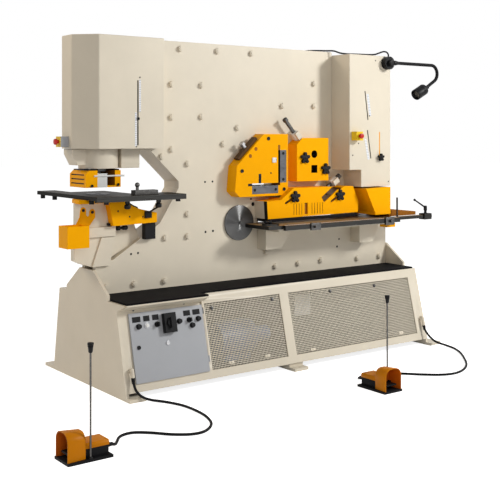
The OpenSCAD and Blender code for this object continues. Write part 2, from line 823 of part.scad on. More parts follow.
module flat_guard() {
    color(yellow) difference() {
        slab_y(-guard_front, -guard_back) polygon(guard_pts);
        slab_y(-guard_front + guard_t, -guard_back + eps) polygon(guard_in);
        window([guard_pts[0][0] - eps, angle_base - guard_lift], [angle_side + block_clear, guard_pts[2][1]],
            -block_front - block_clear, 0);
        for (s = flat_stud)
            guard_slot(s);
        for (x = concat(groove_left, groove_right))
            window([x, groove_z[0]], [x + groove_w, groove_z[1]], -guard_front - eps,
                -guard_front + groove_t);
        window(sight[0], sight[1], -guard_front - eps, -guard_front + guard_t + eps);
        on_screw(flat_screw_at, flat_axis_angle, screw_y)
            block([-notch_half, -screw_y, -screw_reach], [notch_half, screw_y, holder_len]);
        on_screw(flat_screw_at, flat_axis_angle, screw_y)
            block([-holder_w, -screw_y, -holder_len], [holder_w, screw_y, holder_len]);
    }
}

screw_reach = 230;
screw_tail = 70;
screw_end = 165;
notch_half = 24;
screw_head_r = 22;
screw_head_h = 22;

// Star knob on a stud that stands out of a face
module knob_on(at, face) {
    color(black) translate([at[0], -face - slide_gap, at[1]]) star_knob(stud_r + fit, knob_r);
}
module flat_knob_left() {
    knob_on(flat_stud[0], guard_front);
}
module flat_knob_right() {
    knob_on(flat_stud[1], guard_front);
}
module bar_knob_upper() {
    knob_on(bar_stud[0], block_front);
}
module bar_knob_lower() {
    knob_on(bar_stud[1], block_front);
}

// Hold-down screw: shank through its holder, hexagon on top
module hold_down(at, angle, tail, stand) {
    on_screw(at, angle, screw_y) {
        translate([0, 0, -tail]) cylinder(r = screw_r, h = tail + stand);
        translate([0, 0, stand]) hex_head(screw_head_r, screw_head_h);
    }
}

screw_stand = [140, 55];

module bar_screw() {
    color(steel) hold_down(bar_screw_at, -bar_axis_angle, holder_len / 2 + screw_tail, screw_stand[0]);
}
module flat_screw() {
    color(steel) hold_down(flat_screw_at, flat_axis_angle, screw_end, screw_stand[1]);
}

// Angle hold-down: a bar along the chamfer of the angle block and its screw
chamfer_mid = (angle_block_pts[0] + angle_block_pts[5]) / 2;
chamfer_run = angle_block_pts[0] - angle_block_pts[5];
chamfer_angle = -atan2(chamfer_run[1], chamfer_run[0]);
clamp_bar = [220, 26, 22];
clamp_gap = 0.4;

module angle_screw() {
    color(black) on_screw(chamfer_mid, chamfer_angle, screw_y) {
        block([-clamp_bar[0] / 2, -clamp_bar[1], clamp_gap], [clamp_bar[0] / 2, clamp_bar[1],
            clamp_bar[2]]);
        translate([0, 0, clamp_bar[2]]) cylinder(r = screw_r, h = screw_head_h);
        translate([0, 0, clamp_bar[2] + screw_head_h]) hex_head(screw_head_r, screw_head_h);
    }
}

// Notcher stop on its rail and its clamp lever
stop_x = rail_x1 - 95;
stop_w = 80;
stop_wall = 12;
stop_clear = 0.3;
lever_r = 8;
lever_len = 150;
lever_hub = [14, 60];
lever_angle = 62;

module notch_stop() {
    z0 = table_z - rail_t;
    color(dark) difference() {
        block([stop_x, rail_y[0] - stop_wall, z0 - stop_wall], [stop_x + stop_w, rail_y[1] + stop_wall,
            table_z + stop_wall]);
        block([stop_x - eps, rail_y[0] - stop_clear, z0 - stop_clear],
            [stop_x + stop_w + eps, rail_y[1] + stop_clear, table_z + stop_clear]);
    }
}

module notch_lever() {
    translate([stop_x + stop_w / 2, (rail_y[0] + rail_y[1]) / 2, table_z + stop_wall]) color(black) {
        cylinder(r = lever_hub[0], h = lever_hub[1]);
        translate([0, 0, lever_hub[1] * 0.75]) rotate([0, -lever_angle, 0]) cylinder(r = lever_r,
            h = lever_len);
    }
}

// Punch group

cyl_top = up(2120);
nose_pts = [[-218, 1533], [-218, 1500], [-180, 1428], [-110, 1428], [-110, 1533]];
nose_half = 60;
nut_z = [1385, 1428];
ram_top = up(1820);
ram_bore = 75;
guide_at = [[-105, 40], [88, 40]];
guide_low = stripper_z + 14;

module punch_cylinder() {
    color(cream) difference() {
        union() {
            bar_z_dir(ram_x, 0, punch_cyl_r, punch_cyl_z, cyl_top);
            translate([ram_x, 0, 0]) slab_y(-nose_half, nose_half) polygon(nose_pts);
        }
        bar_z_dir(ram_x, 0, ram_r + fit, punch_cyl_z + 100, ram_top + 100);
        bar_z_dir(ram_x, 0, ram_bore, punch_cyl_z - eps, punch_cyl_z + 100);
    }
    color(steel) for (g = guide_at)
        bar_z_dir(ram_x + g[0], g[1], guide_r, guide_low, punch_cyl_z);
}

module punch_ram() {
    color(steel) {
        bar_z_dir(ram_x, 0, ram_r, nut_z[1], ram_top);
        translate([ram_x, 0, nut_z[0]]) cylinder(r = nut_r, h = nut_z[1] - nut_z[0], $fn = 6);
        bar_z_dir(ram_x, 0, punch_r, punch_z, nut_z[0]);
    }
}

strip_left = [-148, -64];
strip_right = [62, 105];
strip_plate = 12;
strip_hole = 30;
bridge_y = 68;
vent_h = 8;
vent_depth = 6;
vent_z = [22, 50, 78];
vent_y = 92;
inner_front = 70;
lock_r = 6;
lock_z = 74;
lock_x = [-90, 130];

module stripper() {
    z1 = stripper_z + stripper_h;
    color(yellow) difference() {
        union() {
            block([ram_x + strip_left[0], -stripper_y, stripper_z], [ram_x + strip_left[1],
                stripper_y, z1]);
            block([ram_x + strip_right[0], -stripper_y, stripper_z], [ram_x + strip_right[1],
                stripper_y, z1]);
            block([ram_x + strip_left[1], bridge_y, stripper_z], [ram_x + strip_right[0], stripper_y,
                z1]);
            block([ram_x + strip_left[1], -stripper_y, stripper_z], [ram_x + strip_right[0],
                bridge_y, stripper_z + strip_plate]);
            block([ram_x + strip_left[1], -stripper_y, stripper_z],
                [ram_x + strip_left[1] + inner_front, -inner_front, z1 - 20]);
            bar_x_dir(-stripper_y, stripper_z + lock_z, lock_r, ram_x + lock_x[0], ram_x + lock_x[1]);
        }
        bar_z_dir(ram_x, 0, strip_hole, stripper_z - eps, stripper_z + strip_plate + eps);
        for (g = guide_at)
            bar_z_dir(ram_x + g[0], g[1], guide_r + fit, stripper_z - eps, z1 + eps);
        for (z = vent_z)
            block([ram_x + strip_left[0] - eps, -vent_y, stripper_z + z],
                [ram_x + strip_left[0] + vent_depth, vent_y, stripper_z + z + vent_h]);
        translate([ram_x + strip_left[0], 0, z1]) rotate([0, 45, 0])
            cube([edge_cut, 3 * stripper_y, edge_cut], center = true);
    }
}

edge_cut = 34;
slab_t = 25;
slab_z = punch_table_z - punch_table_t - slab_t;
arm_block = [[-180, 40], [-110, 110]];
arm_flange = [[-130, 60], [-130, 110]];
arm_flange_z = [966, 1028];
nose_low = [[-226, 1010], [-226, 820], [-95, 772], [23, 772], [65, 930], [54, 966], [-100, 966], [-180,
    1010]];
slug_r = 35;
slug_low = 1100;

module lower_arm() {
    color(cream) difference() {
        union() {
            block([ram_x + arm_block[0][0], arm_block[1][0], arm_flange_z[1]],
                [ram_x + arm_block[0][1], arm_block[1][1], slab_z]);
            block([ram_x + arm_flange[0][0], arm_flange[1][0], arm_flange_z[0]],
                [ram_x + arm_flange[0][1], arm_flange[1][1], arm_flange_z[1]]);
            translate([ram_x, 0, 0]) slab_y(arm_block[1][0], arm_block[1][1]) polygon(nose_low);
        }
        bar_z_dir(ram_x, 0, slug_r, slug_low, slab_z + eps);
        for (side = [-1, 1])
            plate_cut(side);
    }
}

// Room in the lower arm for the tips of the frame plates
module plate_cut(side) {
    ya = min(side * plate_in, side * plate_half);
    yb = max(side * plate_in, side * plate_half);
    slab_y(ya, yb) plate_outline();
}

bracket_y = [-170, -112];
bracket_pts = [[-222, 0], [80, 0], [165, -52], [218, -74], [348, -104], [348, -142], [20, -150], [-10,
    -25], [-222, -25]];
slab_x_range = [-205, 80];
slab_y1 = 110;

module die_support() {
    top = punch_table_z - punch_table_t;
    color(yellow) {
        difference() {
            block([ram_x + slab_x_range[0], bracket_y[1], slab_z], [ram_x + slab_x_range[1], slab_y1,
                top]);
            bar_z_dir(ram_x, 0, slug_r, slab_z - eps, top + eps);
        }
        translate([ram_x, 0, top]) slab_y(bracket_y[0], bracket_y[1]) polygon(bracket_pts);
    }
}

table_left = left_dx - 1420;
table_mid = left_dx - 1040;
table_right = left_dx - 763;
table_y = [-300, 300];
table_wing_y = 560;
table_wing_x = left_dx - 1290;
table_wing_in = 4;
rail_h = 34;
rail_w = 30;
clamp_pads = moved([[-1395, 520], [-1395, 330], [-1390, -200], [-1330, -285], [-1180, -285],
    [-950, -285], [-800, -285]], left_dx);
pad_r = 16;
pad_h = 26;

module punch_table() {
    z0 = punch_table_z - punch_table_t;
    color(dark) {
        difference() {
            union() {
                block([table_left, table_y[0], z0], [table_mid, table_y[1], punch_table_z]);
                block([table_left, table_y[1], z0], [table_wing_x, table_wing_y, punch_table_z]);
                block([table_mid, table_y[0], z0], [table_right, -plate_half - table_wing_in,
                    punch_table_z]);
                block([table_left, table_y[0] - rail_w, punch_table_z - rail_h], [table_right,
                    table_y[0], punch_table_z]);
            }
            bar_z_dir(ram_x, 0, die_r, z0 - eps, punch_table_z + eps);
        }
        for (p = clamp_pads)
            bar_z_dir(p[0], p[1], pad_r, z0 - pad_h, z0);
    }
}

fence_x = [left_dx - 1110, left_dx - 940];
fence_y = [-265, -205];
fence_h = 30;
fence_post = [10, 34];

module table_fence() {
    color(dark) {
        block([fence_x[0], fence_y[0], punch_table_z], [fence_x[1], fence_y[1], punch_table_z + fence_h]);
        bar_z_dir(fence_x[0] + 30, (fence_y[0] + fence_y[1]) / 2, fence_post[0], punch_table_z + fence_h,
            punch_table_z + fence_h + fence_post[1]);
        translate([fence_x[0] + 30, (fence_y[0] + fence_y[1]) / 2, punch_table_z + fence_h + fence_post[1]])
            sphere(r = 1.6 * fence_post[0]);
    }
}

slug_lo = [left_dx - 1575, -240, 917];
slug_hi = [left_dx - 1425, -112, 1055];
slug_t = 3;
ear_x = [for (e = [[-1418, -1386], [-1362, -1330]]) [e[0] + left_dx, e[1] + left_dx]];
ear_top = 1160;
ear_t = 4;

module slug_box() {
    color(yellow) {
        difference() {
            block(slug_lo, slug_hi);
            block(slug_lo + [slug_t, slug_t, slug_t], slug_hi + [-slug_t, -slug_t, eps]);
        }
        for (e = ear_x)
            slab_y(arm_block[1][0] - ear_t, arm_block[1][0]) polygon([[slug_hi[0] - eps, slug_hi[2] - 45],
                [slug_hi[0] - eps, slug_hi[2]], [e[0], ear_top], [e[1], ear_top], [e[1], 1060]]);
    }
}

// Covers

function cover_plan(xl, xr, d, c) = [[xr, -d], [xl + c, -d], [xl, -d + c], [xl, d - c], [xl + c, d], [xr,
    d]];
left_xl = ram_x - left_cover_out;
left_xr = ram_x + left_cover_in;
left_cover_z1 = top_z + 2;
chamfer_in = left_cover_c - cover_t * (2 - sqrt(2));
left_slot_x = left_dx - 1055;
left_slot_z = [up(1556), up(1980)];
plate_pass = 0;

module left_cover() {
    color(cream) difference() {
        translate([0, 0, left_cover_z0]) linear_extrude(left_cover_z1 - left_cover_z0)
            polygon(cover_plan(left_xl, left_xr, left_cover_y, left_cover_c));
        translate([0, 0, left_cover_z0 - eps]) linear_extrude(left_cover_z1 - left_cover_z0 - cover_t + eps)
            polygon(cover_plan(left_xl + cover_t, left_xr - cover_t, left_cover_y - cover_t, chamfer_in));
        block([left_xr - 2 * cover_t, -plate_half - plate_pass, left_cover_z0 - eps],
            [left_xr + eps, plate_half + plate_pass, left_cover_z1 - cover_t]);
        window([left_slot_x - stroke_w / 2, left_slot_z[0]], [left_slot_x + stroke_w / 2, left_slot_z[1]],
            -left_cover_y - eps, -left_cover_y + 2 * cover_t);
    }
}

right_step = [848 + right_dx, 1357];
right_slots = [for (s = [[888, 1962, 920, 1739], [914, 1662, 951, 1442]])
    s + [right_dx, 0, right_dx, 0]];
knob_slot_x = 1043 + right_dx;
knob_slot_z = [1430, 1647];

module slanted_slot(s) {
    run = norm([s[2] - s[0], s[3] - s[1]]);
    tilt = atan2(s[2] - s[0], s[1] - s[3]);
    translate([s[0], 0, s[1]]) rotate([0, -tilt, 0])
        block([-stroke_w / 2, -right_cover_y - eps, -run], [stroke_w / 2, -right_cover_y + 2 * cover_t, 0]);
}

module right_cover() {
    color(cream) difference() {
        block([cover_l, -right_cover_y, right_cover_z0], [cover_r, right_cover_back,
            right_cover_z1]);
        difference() {
            block([cover_l + cover_t, -right_cover_y + cover_t, right_cover_z0 - eps],
                [cover_r - cover_t, right_cover_back - cover_t, right_cover_z1 - cover_t]);
            block([cover_l, -right_cover_y, right_cover_z0 - 2 * eps],
                [right_step[0] + cover_t, -plate_half - plate_pass, right_step[1] + cover_t]);
        }
        block([cover_l - eps, -right_cover_y - eps, right_cover_z0 - eps],
            [right_step[0], -plate_half - plate_pass, right_step[1]]);
        block([cover_l - eps, -plate_half - plate_pass, right_cover_z0 - eps],
            [cover_l + 2 * cover_t, plate_half + plate_pass, ledge_z + 2 * eps]);
        for (s = right_slots)
            slanted_slot(s);
        window([knob_slot_x - stroke_w / 2, knob_slot_z[0]], [knob_slot_x + stroke_w / 2, knob_slot_z[1]],
            -right_cover_y - eps, -right_cover_y + 2 * cover_t);
    }
}

pointer_r = 4;
pointer_cap = [9, 10];
pointer_flange = 10;
pointer_z = up(1730);

// Slide pointer: flange behind the sheet, stem in the slot, cap in front
module pointer(x, z, face, cap_rad, cap_len) {
    bar_y_dir(x, z, pointer_flange, face + cover_t + clamp_gap, face + 2 * cover_t + clamp_gap);
    bar_y_dir(x, z, pointer_r, face - clamp_gap, face + cover_t + clamp_gap);
    bar_y_dir(x, z, cap_rad, face - clamp_gap - cap_len, face - clamp_gap);
}

module left_pointer() {
    color(black) pointer(left_slot_x, pointer_z, -left_cover_y, pointer_cap[0], pointer_cap[1]);
}

right_knob_z = 1450;
slide_knob_r = 25;

module right_pointer() {
    color(black) {
        pointer(knob_slot_x, right_knob_z, -right_cover_y, pointer_cap[0], pointer_cap[1]);
        translate([knob_slot_x, -right_cover_y - pointer_cap[1] - clamp_gap, right_knob_z])
            star_knob(0, slide_knob_r);
    }
}

box_w = 68;
box_d = 58;
estop_z = 1580;
estop_right_at = [780 + right_dx, 1616];
estop_r = 20;
estop_stem = [11, 22];
estop_head = 18;
junction = [[left_dx - 964, -140, 930], [left_dx - 886, -plate_half, 1062]];

module switch_boxes() {
    color(yellow) difference() {
        block([left_xl - box_d, -box_w / 2, estop_z - box_w / 2], [left_xl, box_w / 2,
            estop_z + box_w / 2]);
        bar_x_dir(0, estop_z, estop_stem[0] + fit, left_xl - box_d - eps, left_xl - box_d / 2);
    }
    color(yellow) difference() {
        block([estop_right_at[0] - box_w / 2, -right_cover_y - box_d, estop_right_at[1] - box_w / 2],
            [estop_right_at[0] + box_w / 2, -right_cover_y, estop_right_at[1] + box_w / 2]);
        bar_y_dir(estop_right_at[0], estop_right_at[1], estop_stem[0] + fit, -right_cover_y - box_d - eps,
            -right_cover_y - box_d / 2);
    }
    color(black) block(junction[0], junction[1]);
}

// Mushroom button along -Z from a face at z = 0: stem in the box, head in front
module mushroom() {
    translate([0, 0, -estop_stem[1] / 2]) cylinder(r = estop_stem[0], h = estop_stem[1]);
    translate([0, 0, estop_stem[1] / 2]) cylinder(r = estop_r, h = estop_head);
}

module estop_left() {
    color(red) translate([left_xl - box_d, 0, estop_z]) rotate([0, -90, 0]) mushroom();
}
module estop_right() {
    color(red) translate([estop_right_at[0], -right_cover_y - box_d, estop_right_at[1]]) rotate([90, 0,
        0]) mushroom();
}

// Cabinet door and its controls, placed up the panel

label_at = [[-1233, -1174], [-1154, -1109], [-1089, -1043], [-857, -805], [-787, -731]];
label_z = [404, 442];
label_t = 1.5;
switch_x = [-1021, -935];
switch_z = [329, 453];
switch_t = 36;
handle_r = 26;
handle_t = 22;
handle_bar = [34, 8];
selector_at = [[-1060, 392], [-819, 392]];
dummy_at = [[-1193, 392], [-895, 392], [-750, 392], [-801, 356]];
button_at = [-1133, 392];
selector_r = 14;
selector_h = 16;
selector_bar = [13, 5, 12];
collar_r = 18;
collar_h = 5;
button_r = 10;
button_h = 12;
button_play = 4;
button_step = 2;
lock_at = [[-1208, 265], [-997, 268]];
lock_size = [13, 5];
knuckle_len = hinge_len - 0.6;

// Frame of a control on the door's outer face: z points out of the door
module on_door(at, out) {
    on_front() translate([at[0] + left_dx, -door_t - out, at[1]]) rotate([90, 0, 0]) children();
}

module cabinet_door() {
    color(grey) {
        on_front() difference() {
            union() {
                block([door_l, -door_t, door_lo], [door_r, -clamp_gap, door_hi]);
                for (z = hinge_at) {
                    translate([hinge_x, -hinge_off, z]) cylinder(r = hinge_r, h = knuckle_len);
                    block([door_r - hinge_off, -hinge_off - hinge_pin_r, z], [hinge_x,
                        -hinge_off + hinge_pin_r, z + knuckle_len]);
                }
                block([switch_x[0] + left_dx, -door_t - switch_t, switch_z[0]],
                    [switch_x[1] + left_dx, -door_t, switch_z[1]]);
            }
            for (z = hinge_at)
                translate([hinge_x, -hinge_off, z - eps]) cylinder(r = hinge_pin_r + fit,
                    h = hinge_len + 2 * eps);
            for (z = hinge_at)
                block([hinge_x - hinge_r - eps, -hinge_off - hinge_r - eps, z + knuckle_len],
                    [hinge_x + hinge_r + eps, -clamp_gap + eps, z + 2 * hinge_len + eps]);
            translate([button_at[0] + left_dx, 0, button_at[1]]) bar_y_dir(0, 0, button_r - button_step + fit,
                -door_t - eps, eps);
        }
        for (a = concat(selector_at, dummy_at))
            on_door(a, 0) cylinder(r = collar_r, h = collar_h);
        for (a = dummy_at)
            on_door(a, collar_h) cylinder(r = selector_r, h = selector_h);
        for (a = lock_at)
            on_door(a, 0) cylinder(r = lock_size[0], h = lock_size[1]);
        on_door(button_at, 0) difference() {
            cylinder(r = collar_r, h = collar_h);
            translate([0, 0, -eps]) cylinder(r = button_r + fit, h = collar_h + 2 * eps);
        }
        on_front() for (l = label_at)
            block([l[0] + left_dx, -door_t - label_t, label_z[0] + 16],
                [l[1] + left_dx, -door_t, label_z[1] + 12]);
    }
}

module main_switch() {
    centre = [(switch_x[0] + switch_x[1]) / 2, (switch_z[0] + switch_z[1]) / 2];
    color(black) on_door(centre, switch_t) {
        cylinder(r = handle_r, h = handle_t / 2);
        block([-handle_bar[1], -handle_bar[0], handle_t / 2], [handle_bar[1], handle_bar[0], handle_t]);
    }
}

module selector(at) {
    color(black) on_door(at, collar_h) {
        cylinder(r = selector_r, h = selector_h);
        block([-selector_bar[1], -selector_bar[0], selector_h], [selector_bar[1], selector_bar[0],
            selector_h + selector_bar[2]]);
    }
}
module selector_left() {
    selector(selector_at[0]);
}
module selector_right() {
    selector(selector_at[1]);
}

module push_button() {
    color([0.92, 0.92, 0.92]) on_door(button_at, 0) {
        translate([0, 0, button_play]) cylinder(r = button_r, h = collar_h - button_play + button_h / 2);
        translate([0, 0, button_step - door_t]) cylinder(r = button_r - button_step, h = door_t);
    }
}

// Hydraulics inside the stand

tank = [[150, -250, 0], [1150, 300, 330]];
motor_x = [-420, -120];
motor_r = 120;
motor_y = -150;
motor_z = 190;
pump_r = 55;
pump_x = 40;
foot_block = [40, 80];
valve = [[420, -200, 330], [640, -60, 450]];
hose_r = 14;
hose_end = 26;

module oil_tank() {
    z0 = plinth_z + sheet_t;
    color(grey) block([tank[0][0], tank[0][1], z0], [tank[1][0], tank[1][1], z0 + tank[1][2]]);
    color(steel) block([valve[0][0], valve[0][1], z0 + valve[0][2]], [valve[1][0], valve[1][1],
        z0 + valve[1][2]]);
    color(black) bar_x_dir(motor_y, motor_z, hose_r, pump_x, tank[0][0]);
    color(black) bar_z_dir(valve[1][0] - hose_end, valve[1][1] - hose_end, hose_r, z0 + valve[1][2],
        deck_z - sheet_t);
    color(black) bar_z_dir(valve[0][0] + hose_end, valve[1][1] - hose_end, hose_r, z0 + valve[1][2],
        deck_z - sheet_t);
}

module pump_motor() {
    z0 = plinth_z + sheet_t;
    color(blue) {
        bar_x_dir(motor_y, motor_z, motor_r, motor_x[0], motor_x[1]);
        bar_x_dir(motor_y, motor_z, pump_r, motor_x[1], pump_x);
        block([motor_x[0] + foot_block[0], motor_y - foot_block[1], z0], [motor_x[1] - foot_block[0],
            motor_y + foot_block[1], motor_z]);
    }
}

flange = moved([[770, -150], [1110, 150]], right_dx);
flange_t = 60;
shear_cyl_r = 140;
shear_cyl_top = 2120;
rod_top = 1880;
rod_gap = 1;

module shear_cylinder() {
    color(grey) difference() {
        union() {
            block([flange[0][0], flange[0][1], ledge_z], [flange[1][0], flange[1][1], ledge_z + flange_t]);
            bar_z_dir(cyl_x, 0, shear_cyl_r, ledge_z + flange_t, shear_cyl_top);
        }
        bar_z_dir(cyl_x, 0, rod_r + fit, ledge_z - eps, rod_top + eps);
    }
}

module shear_rod() {
    color(steel) bar_z_dir(cyl_x, 0, rod_r, arm_pad_z + rod_gap, rod_top);
}

// Work lamp

lamp_at = [1112 + right_dx, 2185];
lamp_r = 50;
lamp_base_t = 46;
lamp_disc = 2;
neck_r = 9;
neck_y = -right_cover_y - 70;
neck_x1 = lamp_at[0] + 453;
neck_bend = 67;
neck_turn = 149;
neck_tail = 108;
hub_t = 28;
hub_r = 26;
head_r = 38;
head_len = 118;
head_tilt = 27;
swivel_r = 17;
eye_r = 12;
eye_half = 10;
eye_gap = 0.3;
eye_pin_r = 5;
fork_half = 16;
swivel_len = 24;
neck_drop = 180 - neck_turn;
bend_end = [neck_x1 + neck_bend * sin(neck_turn), lamp_at[1] - neck_bend + neck_bend * cos(neck_turn)];
eye_at = bend_end - neck_tail * [cos(neck_drop), sin(neck_drop)];

// Route of the lamp lead, from the base over the cover to the back of the frame
lead_path = [for (q = [[1112, -322, 2225], [1111, -322, 2250], [1102, -312, 2268], [1084, -294, 2272],
    [1060, -274, 2262], [1025, -260, 2250], [970, -250, 2246], [880, -230, 2246], [790, -195, 2247],
    [745, -165, 2254], [715, -130, 2270], [670, -85, 2272], [600, -48, 2272], [550, -28, 2270],
    [520, -18, 2265], [510, -14, 2253]]) q + [right_dx, 0, 0]];
lead_sides = 8;

module lamp_base() {
    color(black) {
        bar_y_dir(lamp_at[0], lamp_at[1], lamp_r, -right_cover_y - lamp_base_t, -right_cover_y);
        tube(lead_path, lead_r, lead_sides);
    }
}

module lamp_arm() {
    y0 = -right_cover_y - lamp_base_t - clamp_gap;
    color(black) {
        bar_y_dir(lamp_at[0], lamp_at[1], hub_r, y0 - hub_t, y0);
        bar_x_dir(neck_y + 10, lamp_at[1], neck_r, lamp_at[0], neck_x1);
        translate([neck_x1, neck_y + 10, lamp_at[1] - neck_bend]) rotate([90, 0, 0])
            rotate([0, 0, 90 - neck_turn]) rotate_extrude(angle = neck_turn)
                translate([neck_bend, 0]) circle(r = neck_r);
        translate([bend_end[0], neck_y + 10, bend_end[1]]) rotate([0, -90 - neck_drop, 0])
            cylinder(r = neck_r, h = neck_tail);
        translate([eye_at[0], neck_y + 10, eye_at[1]]) {
            bar_y_dir(0, 0, eye_r, -eye_half, eye_half);
            bar_y_dir(0, 0, eye_pin_r, -fork_half, fork_half);
        }
    }
}

module lamp_head() {
    color(black) translate([eye_at[0], neck_y + 10, eye_at[1]]) rotate([0, -90 - head_tilt, 0]) {
        difference() {
            union() {
                block([-eye_r, -fork_half, -eye_r], [eye_r, fork_half, swivel_len]);
                translate([0, 0, eye_r]) cylinder(r = swivel_r, h = swivel_len - eye_r);
            }
            block([-swivel_r, -eye_half - eye_gap, -2 * eye_r],
                [swivel_r, eye_half + eye_gap, eye_r + eye_gap]);
            bar_y_dir(0, 0, eye_pin_r + fit, -2 * fork_half, 2 * fork_half);
        }
        translate([0, 0, swivel_len]) cylinder(r = head_r, h = head_len);
    }
}

// Pedals

left_pedal = [left_dx - 2104, -1346];
right_pedal = [48 - left_dx, -1354];
pedal_base_t = 14;
hood_t = 4;
hood_x = [12, 105];
rear_x = [hood_x[1], 236];
housing_h = 88;
hood_in = 18;
treadle_t = 8;
treadle_x = 20;
treadle_pin = [88, 44];
treadle_pin_r = 5;
treadle_side = hood_in + 6;
lug_w = 10;
treadle_in = treadle_side + lug_w + eps;
plug_r = 14;
carry_at = [126, hood_in / 2];
carry_r = 5;
grip_r = [9, 15];
grip_h = 48;
plug_z = 40;

// Pedal frames: x from the mouth to the rear, y across, z up
module at_left() {
    translate([left_pedal[0], left_pedal[1], 0]) children();
}
module at_right() {
    translate([right_pedal[0] + pedal_w, right_pedal[1], 0]) rotate([0, 0, 90]) children();
}

module pedal_base() {
    block([0, 0, 0], [pedal_len, pedal_w, pedal_base_t]);
    difference() {
        for (y = [treadle_side, pedal_w - treadle_side - lug_w])
            block([treadle_pin[0] - lug_w, y, pedal_base_t], [treadle_pin[0] + lug_w, y + lug_w,
                treadle_pin[1] + lug_w]);
        bar_y_dir(treadle_pin[0], treadle_pin[1], treadle_pin_r + fit, 0, pedal_w);
    }
    bar_z_dir(carry_at[0], carry_at[1], carry_r, pedal_base_t, carry_h - grip_h);
    bar_z_dir(carry_at[0], carry_at[1], grip_r[0], carry_h - grip_h, carry_h - grip_r[1]);
    translate([carry_at[0], carry_at[1], carry_h - grip_r[1]]) sphere(r = grip_r[1]);
}

module pedal_bases() {
    color(black) at_left() pedal_base();
    color(black) at_right() pedal_base();
}

// Arched outline of the hood across the pedal, smaller by a wall
hood_cut = [35, 12];
module hood_outline(wall) {
    h = pedal_h - wall;
    v = hood_in + wall;
    w = pedal_w - v;
    polygon([[v, pedal_base_t], [v, h - hood_cut[0]], [v + hood_cut[1], h - hood_cut[1]],
        [v + hood_cut[0], h], [w - hood_cut[0], h], [w - hood_cut[1], h - hood_cut[1]], [w,
            h - hood_cut[0]],
        [w, pedal_base_t]]);
}

module pedal_hood() {
    difference() {
        slab_x(hood_x[0], hood_x[1]) hood_outline(0);
        slab_x(hood_x[0] - eps, hood_x[1] - hood_t) hood_outline(hood_t);
    }
    block([rear_x[0], hood_in, pedal_base_t], [rear_x[1], pedal_w - hood_in, housing_h]);
    bar_x_dir(pedal_w / 2, plug_z, plug_r, rear_x[1], pedal_len);
}

module pedal_hoods() {
    color(orange) at_left() pedal_hood();
    color(orange) at_right() pedal_hood();
}

module treadle() {
    z0 = treadle_pin[1] - treadle_t / 2;
    block([treadle_x, treadle_in, z0], [treadle_pin[0] + treadle_pin_r, pedal_w - treadle_in,
        z0 + treadle_t]);
    bar_y_dir(treadle_pin[0], treadle_pin[1], treadle_pin_r, treadle_side, pedal_w - treadle_side);
}

module left_treadle() {
    color(black) at_left() treadle();
}
module right_treadle() {
    color(black) at_right() treadle();
}

// Cables: a round tube swept along a smoothed route
function unit(v) = v / norm(v);
function at(p, i) = p[max(0, min(len(p) - 1, i))];
function curve(p, i, t) = 0.5 * (2 * at(p, i) + (at(p, i + 1) - at(p, i - 1)) * t
    + (2 * at(p, i - 1) - 5 * at(p, i) + 4 * at(p, i + 1) - at(p, i + 2)) * t * t
    + (3 * at(p, i) - at(p, i - 1) - 3 * at(p, i + 1) + at(p, i + 2)) * t * t * t);
function route(p, k) = concat([for (i = [0 : len(p) - 2], j = [0 : k - 1]) curve(p, i, j / k)], [p[len(p)
    - 1]]);
function headings(q) = [for (i = [0 : len(q) - 1]) unit(at(q, i + 1) - at(q, i - 1))];
function across(n, t) = unit(n - (n * t) * t);
function sides_of(h) = [for (i = 0, n = across([1, 0.2, 0.1], h[0]); i < len(h);
    i = i + 1, n = i < len(h) ? across(n, h[i]) : n) n];

module tube(path, r, sides) {
    q = route(path, route_steps);
    h = headings(q);
    n = sides_of(h);
    last = len(q) - 1;
    points = [for (i = [0 : last], j = [0 : sides - 1])
        q[i] + r * (cos(j * 360 / sides) * n[i] + sin(j * 360 / sides) * cross(h[i], n[i]))];
    skin = [for (i = [0 : last - 1], j = [0 : sides - 1], half = [0, 1])
        let (a = i * sides + j, b = i * sides + (j + 1) % sides)
        half == 0 ? [a, a + sides, b + sides] : [a, b + sides, b]];
    ends = [[for (j = [0 : sides - 1]) j], [for (j = [sides - 1 : -1 : 0]) last * sides + j]];
    polyhedron(points = points, faces = concat(skin, ends));
}

route_steps = 3;
cable_sides = 10;
rest = cable_r;

// Start of a cable at its gland, in the frame of the panel, and a point further down along it
function gland_end(i, down) = [gland_x[i],
    -front_bottom - gland_out * cos(lean) + (gland_lo[i] - down) * sin(lean),
    plinth_z + gland_out * sin(lean) + (gland_lo[i] - down) * cos(lean)];
left_plug = [left_pedal[0] + pedal_len, left_pedal[1] + pedal_w / 2, plug_z];
right_plug = [right_pedal[0] + pedal_w / 2, right_pedal[1] + pedal_len, plug_z];
left_path = concat([for (d = [0, 8, 24]) gland_end(0, d)], [for (q = [[-1276, -562, 70],
    [-1250, -588, 34], [-1205, -618, rest + 6], [-1145, -690, rest], [-1105, -800, rest], [-1095, -920, rest],
    [-1110, -1070, rest], [-1165, -1210, rest], [-1260, -1295, rest], [-1350, -1300, rest],
    [-1440, -1240, rest], [-1520, -1145, rest], [-1600, -1085, rest], [-1680, -1100, rest],
    [-1745, -1180, rest + 4], [-1790, -1245, rest + 18]]) q + [left_dx, 0, 0]],
    [for (d = [24, 8, 0]) left_plug + [d, 0, 0]]);
right_path = concat([for (d = [0, 8, 24]) gland_end(1, d)], [for (q = [[1300, -566, 82],
    [1330, -610, 36], [1372, -670, rest + 6], [1360, -770, rest], [1290, -890, rest], [1190, -1010, rest],
    [1060, -1145, rest], [930, -1235, rest], [800, -1275, rest], [690, -1250, rest], [590, -1170, rest],
    [490, -1065, rest], [380, -985, rest], [260, -955, rest], [175, -985, rest + 4], [136, -1040, rest + 18]])
    q - [left_dx, 0, 0]],
    [for (d = [24, 8, 0]) right_plug + [0, d, 0]]);

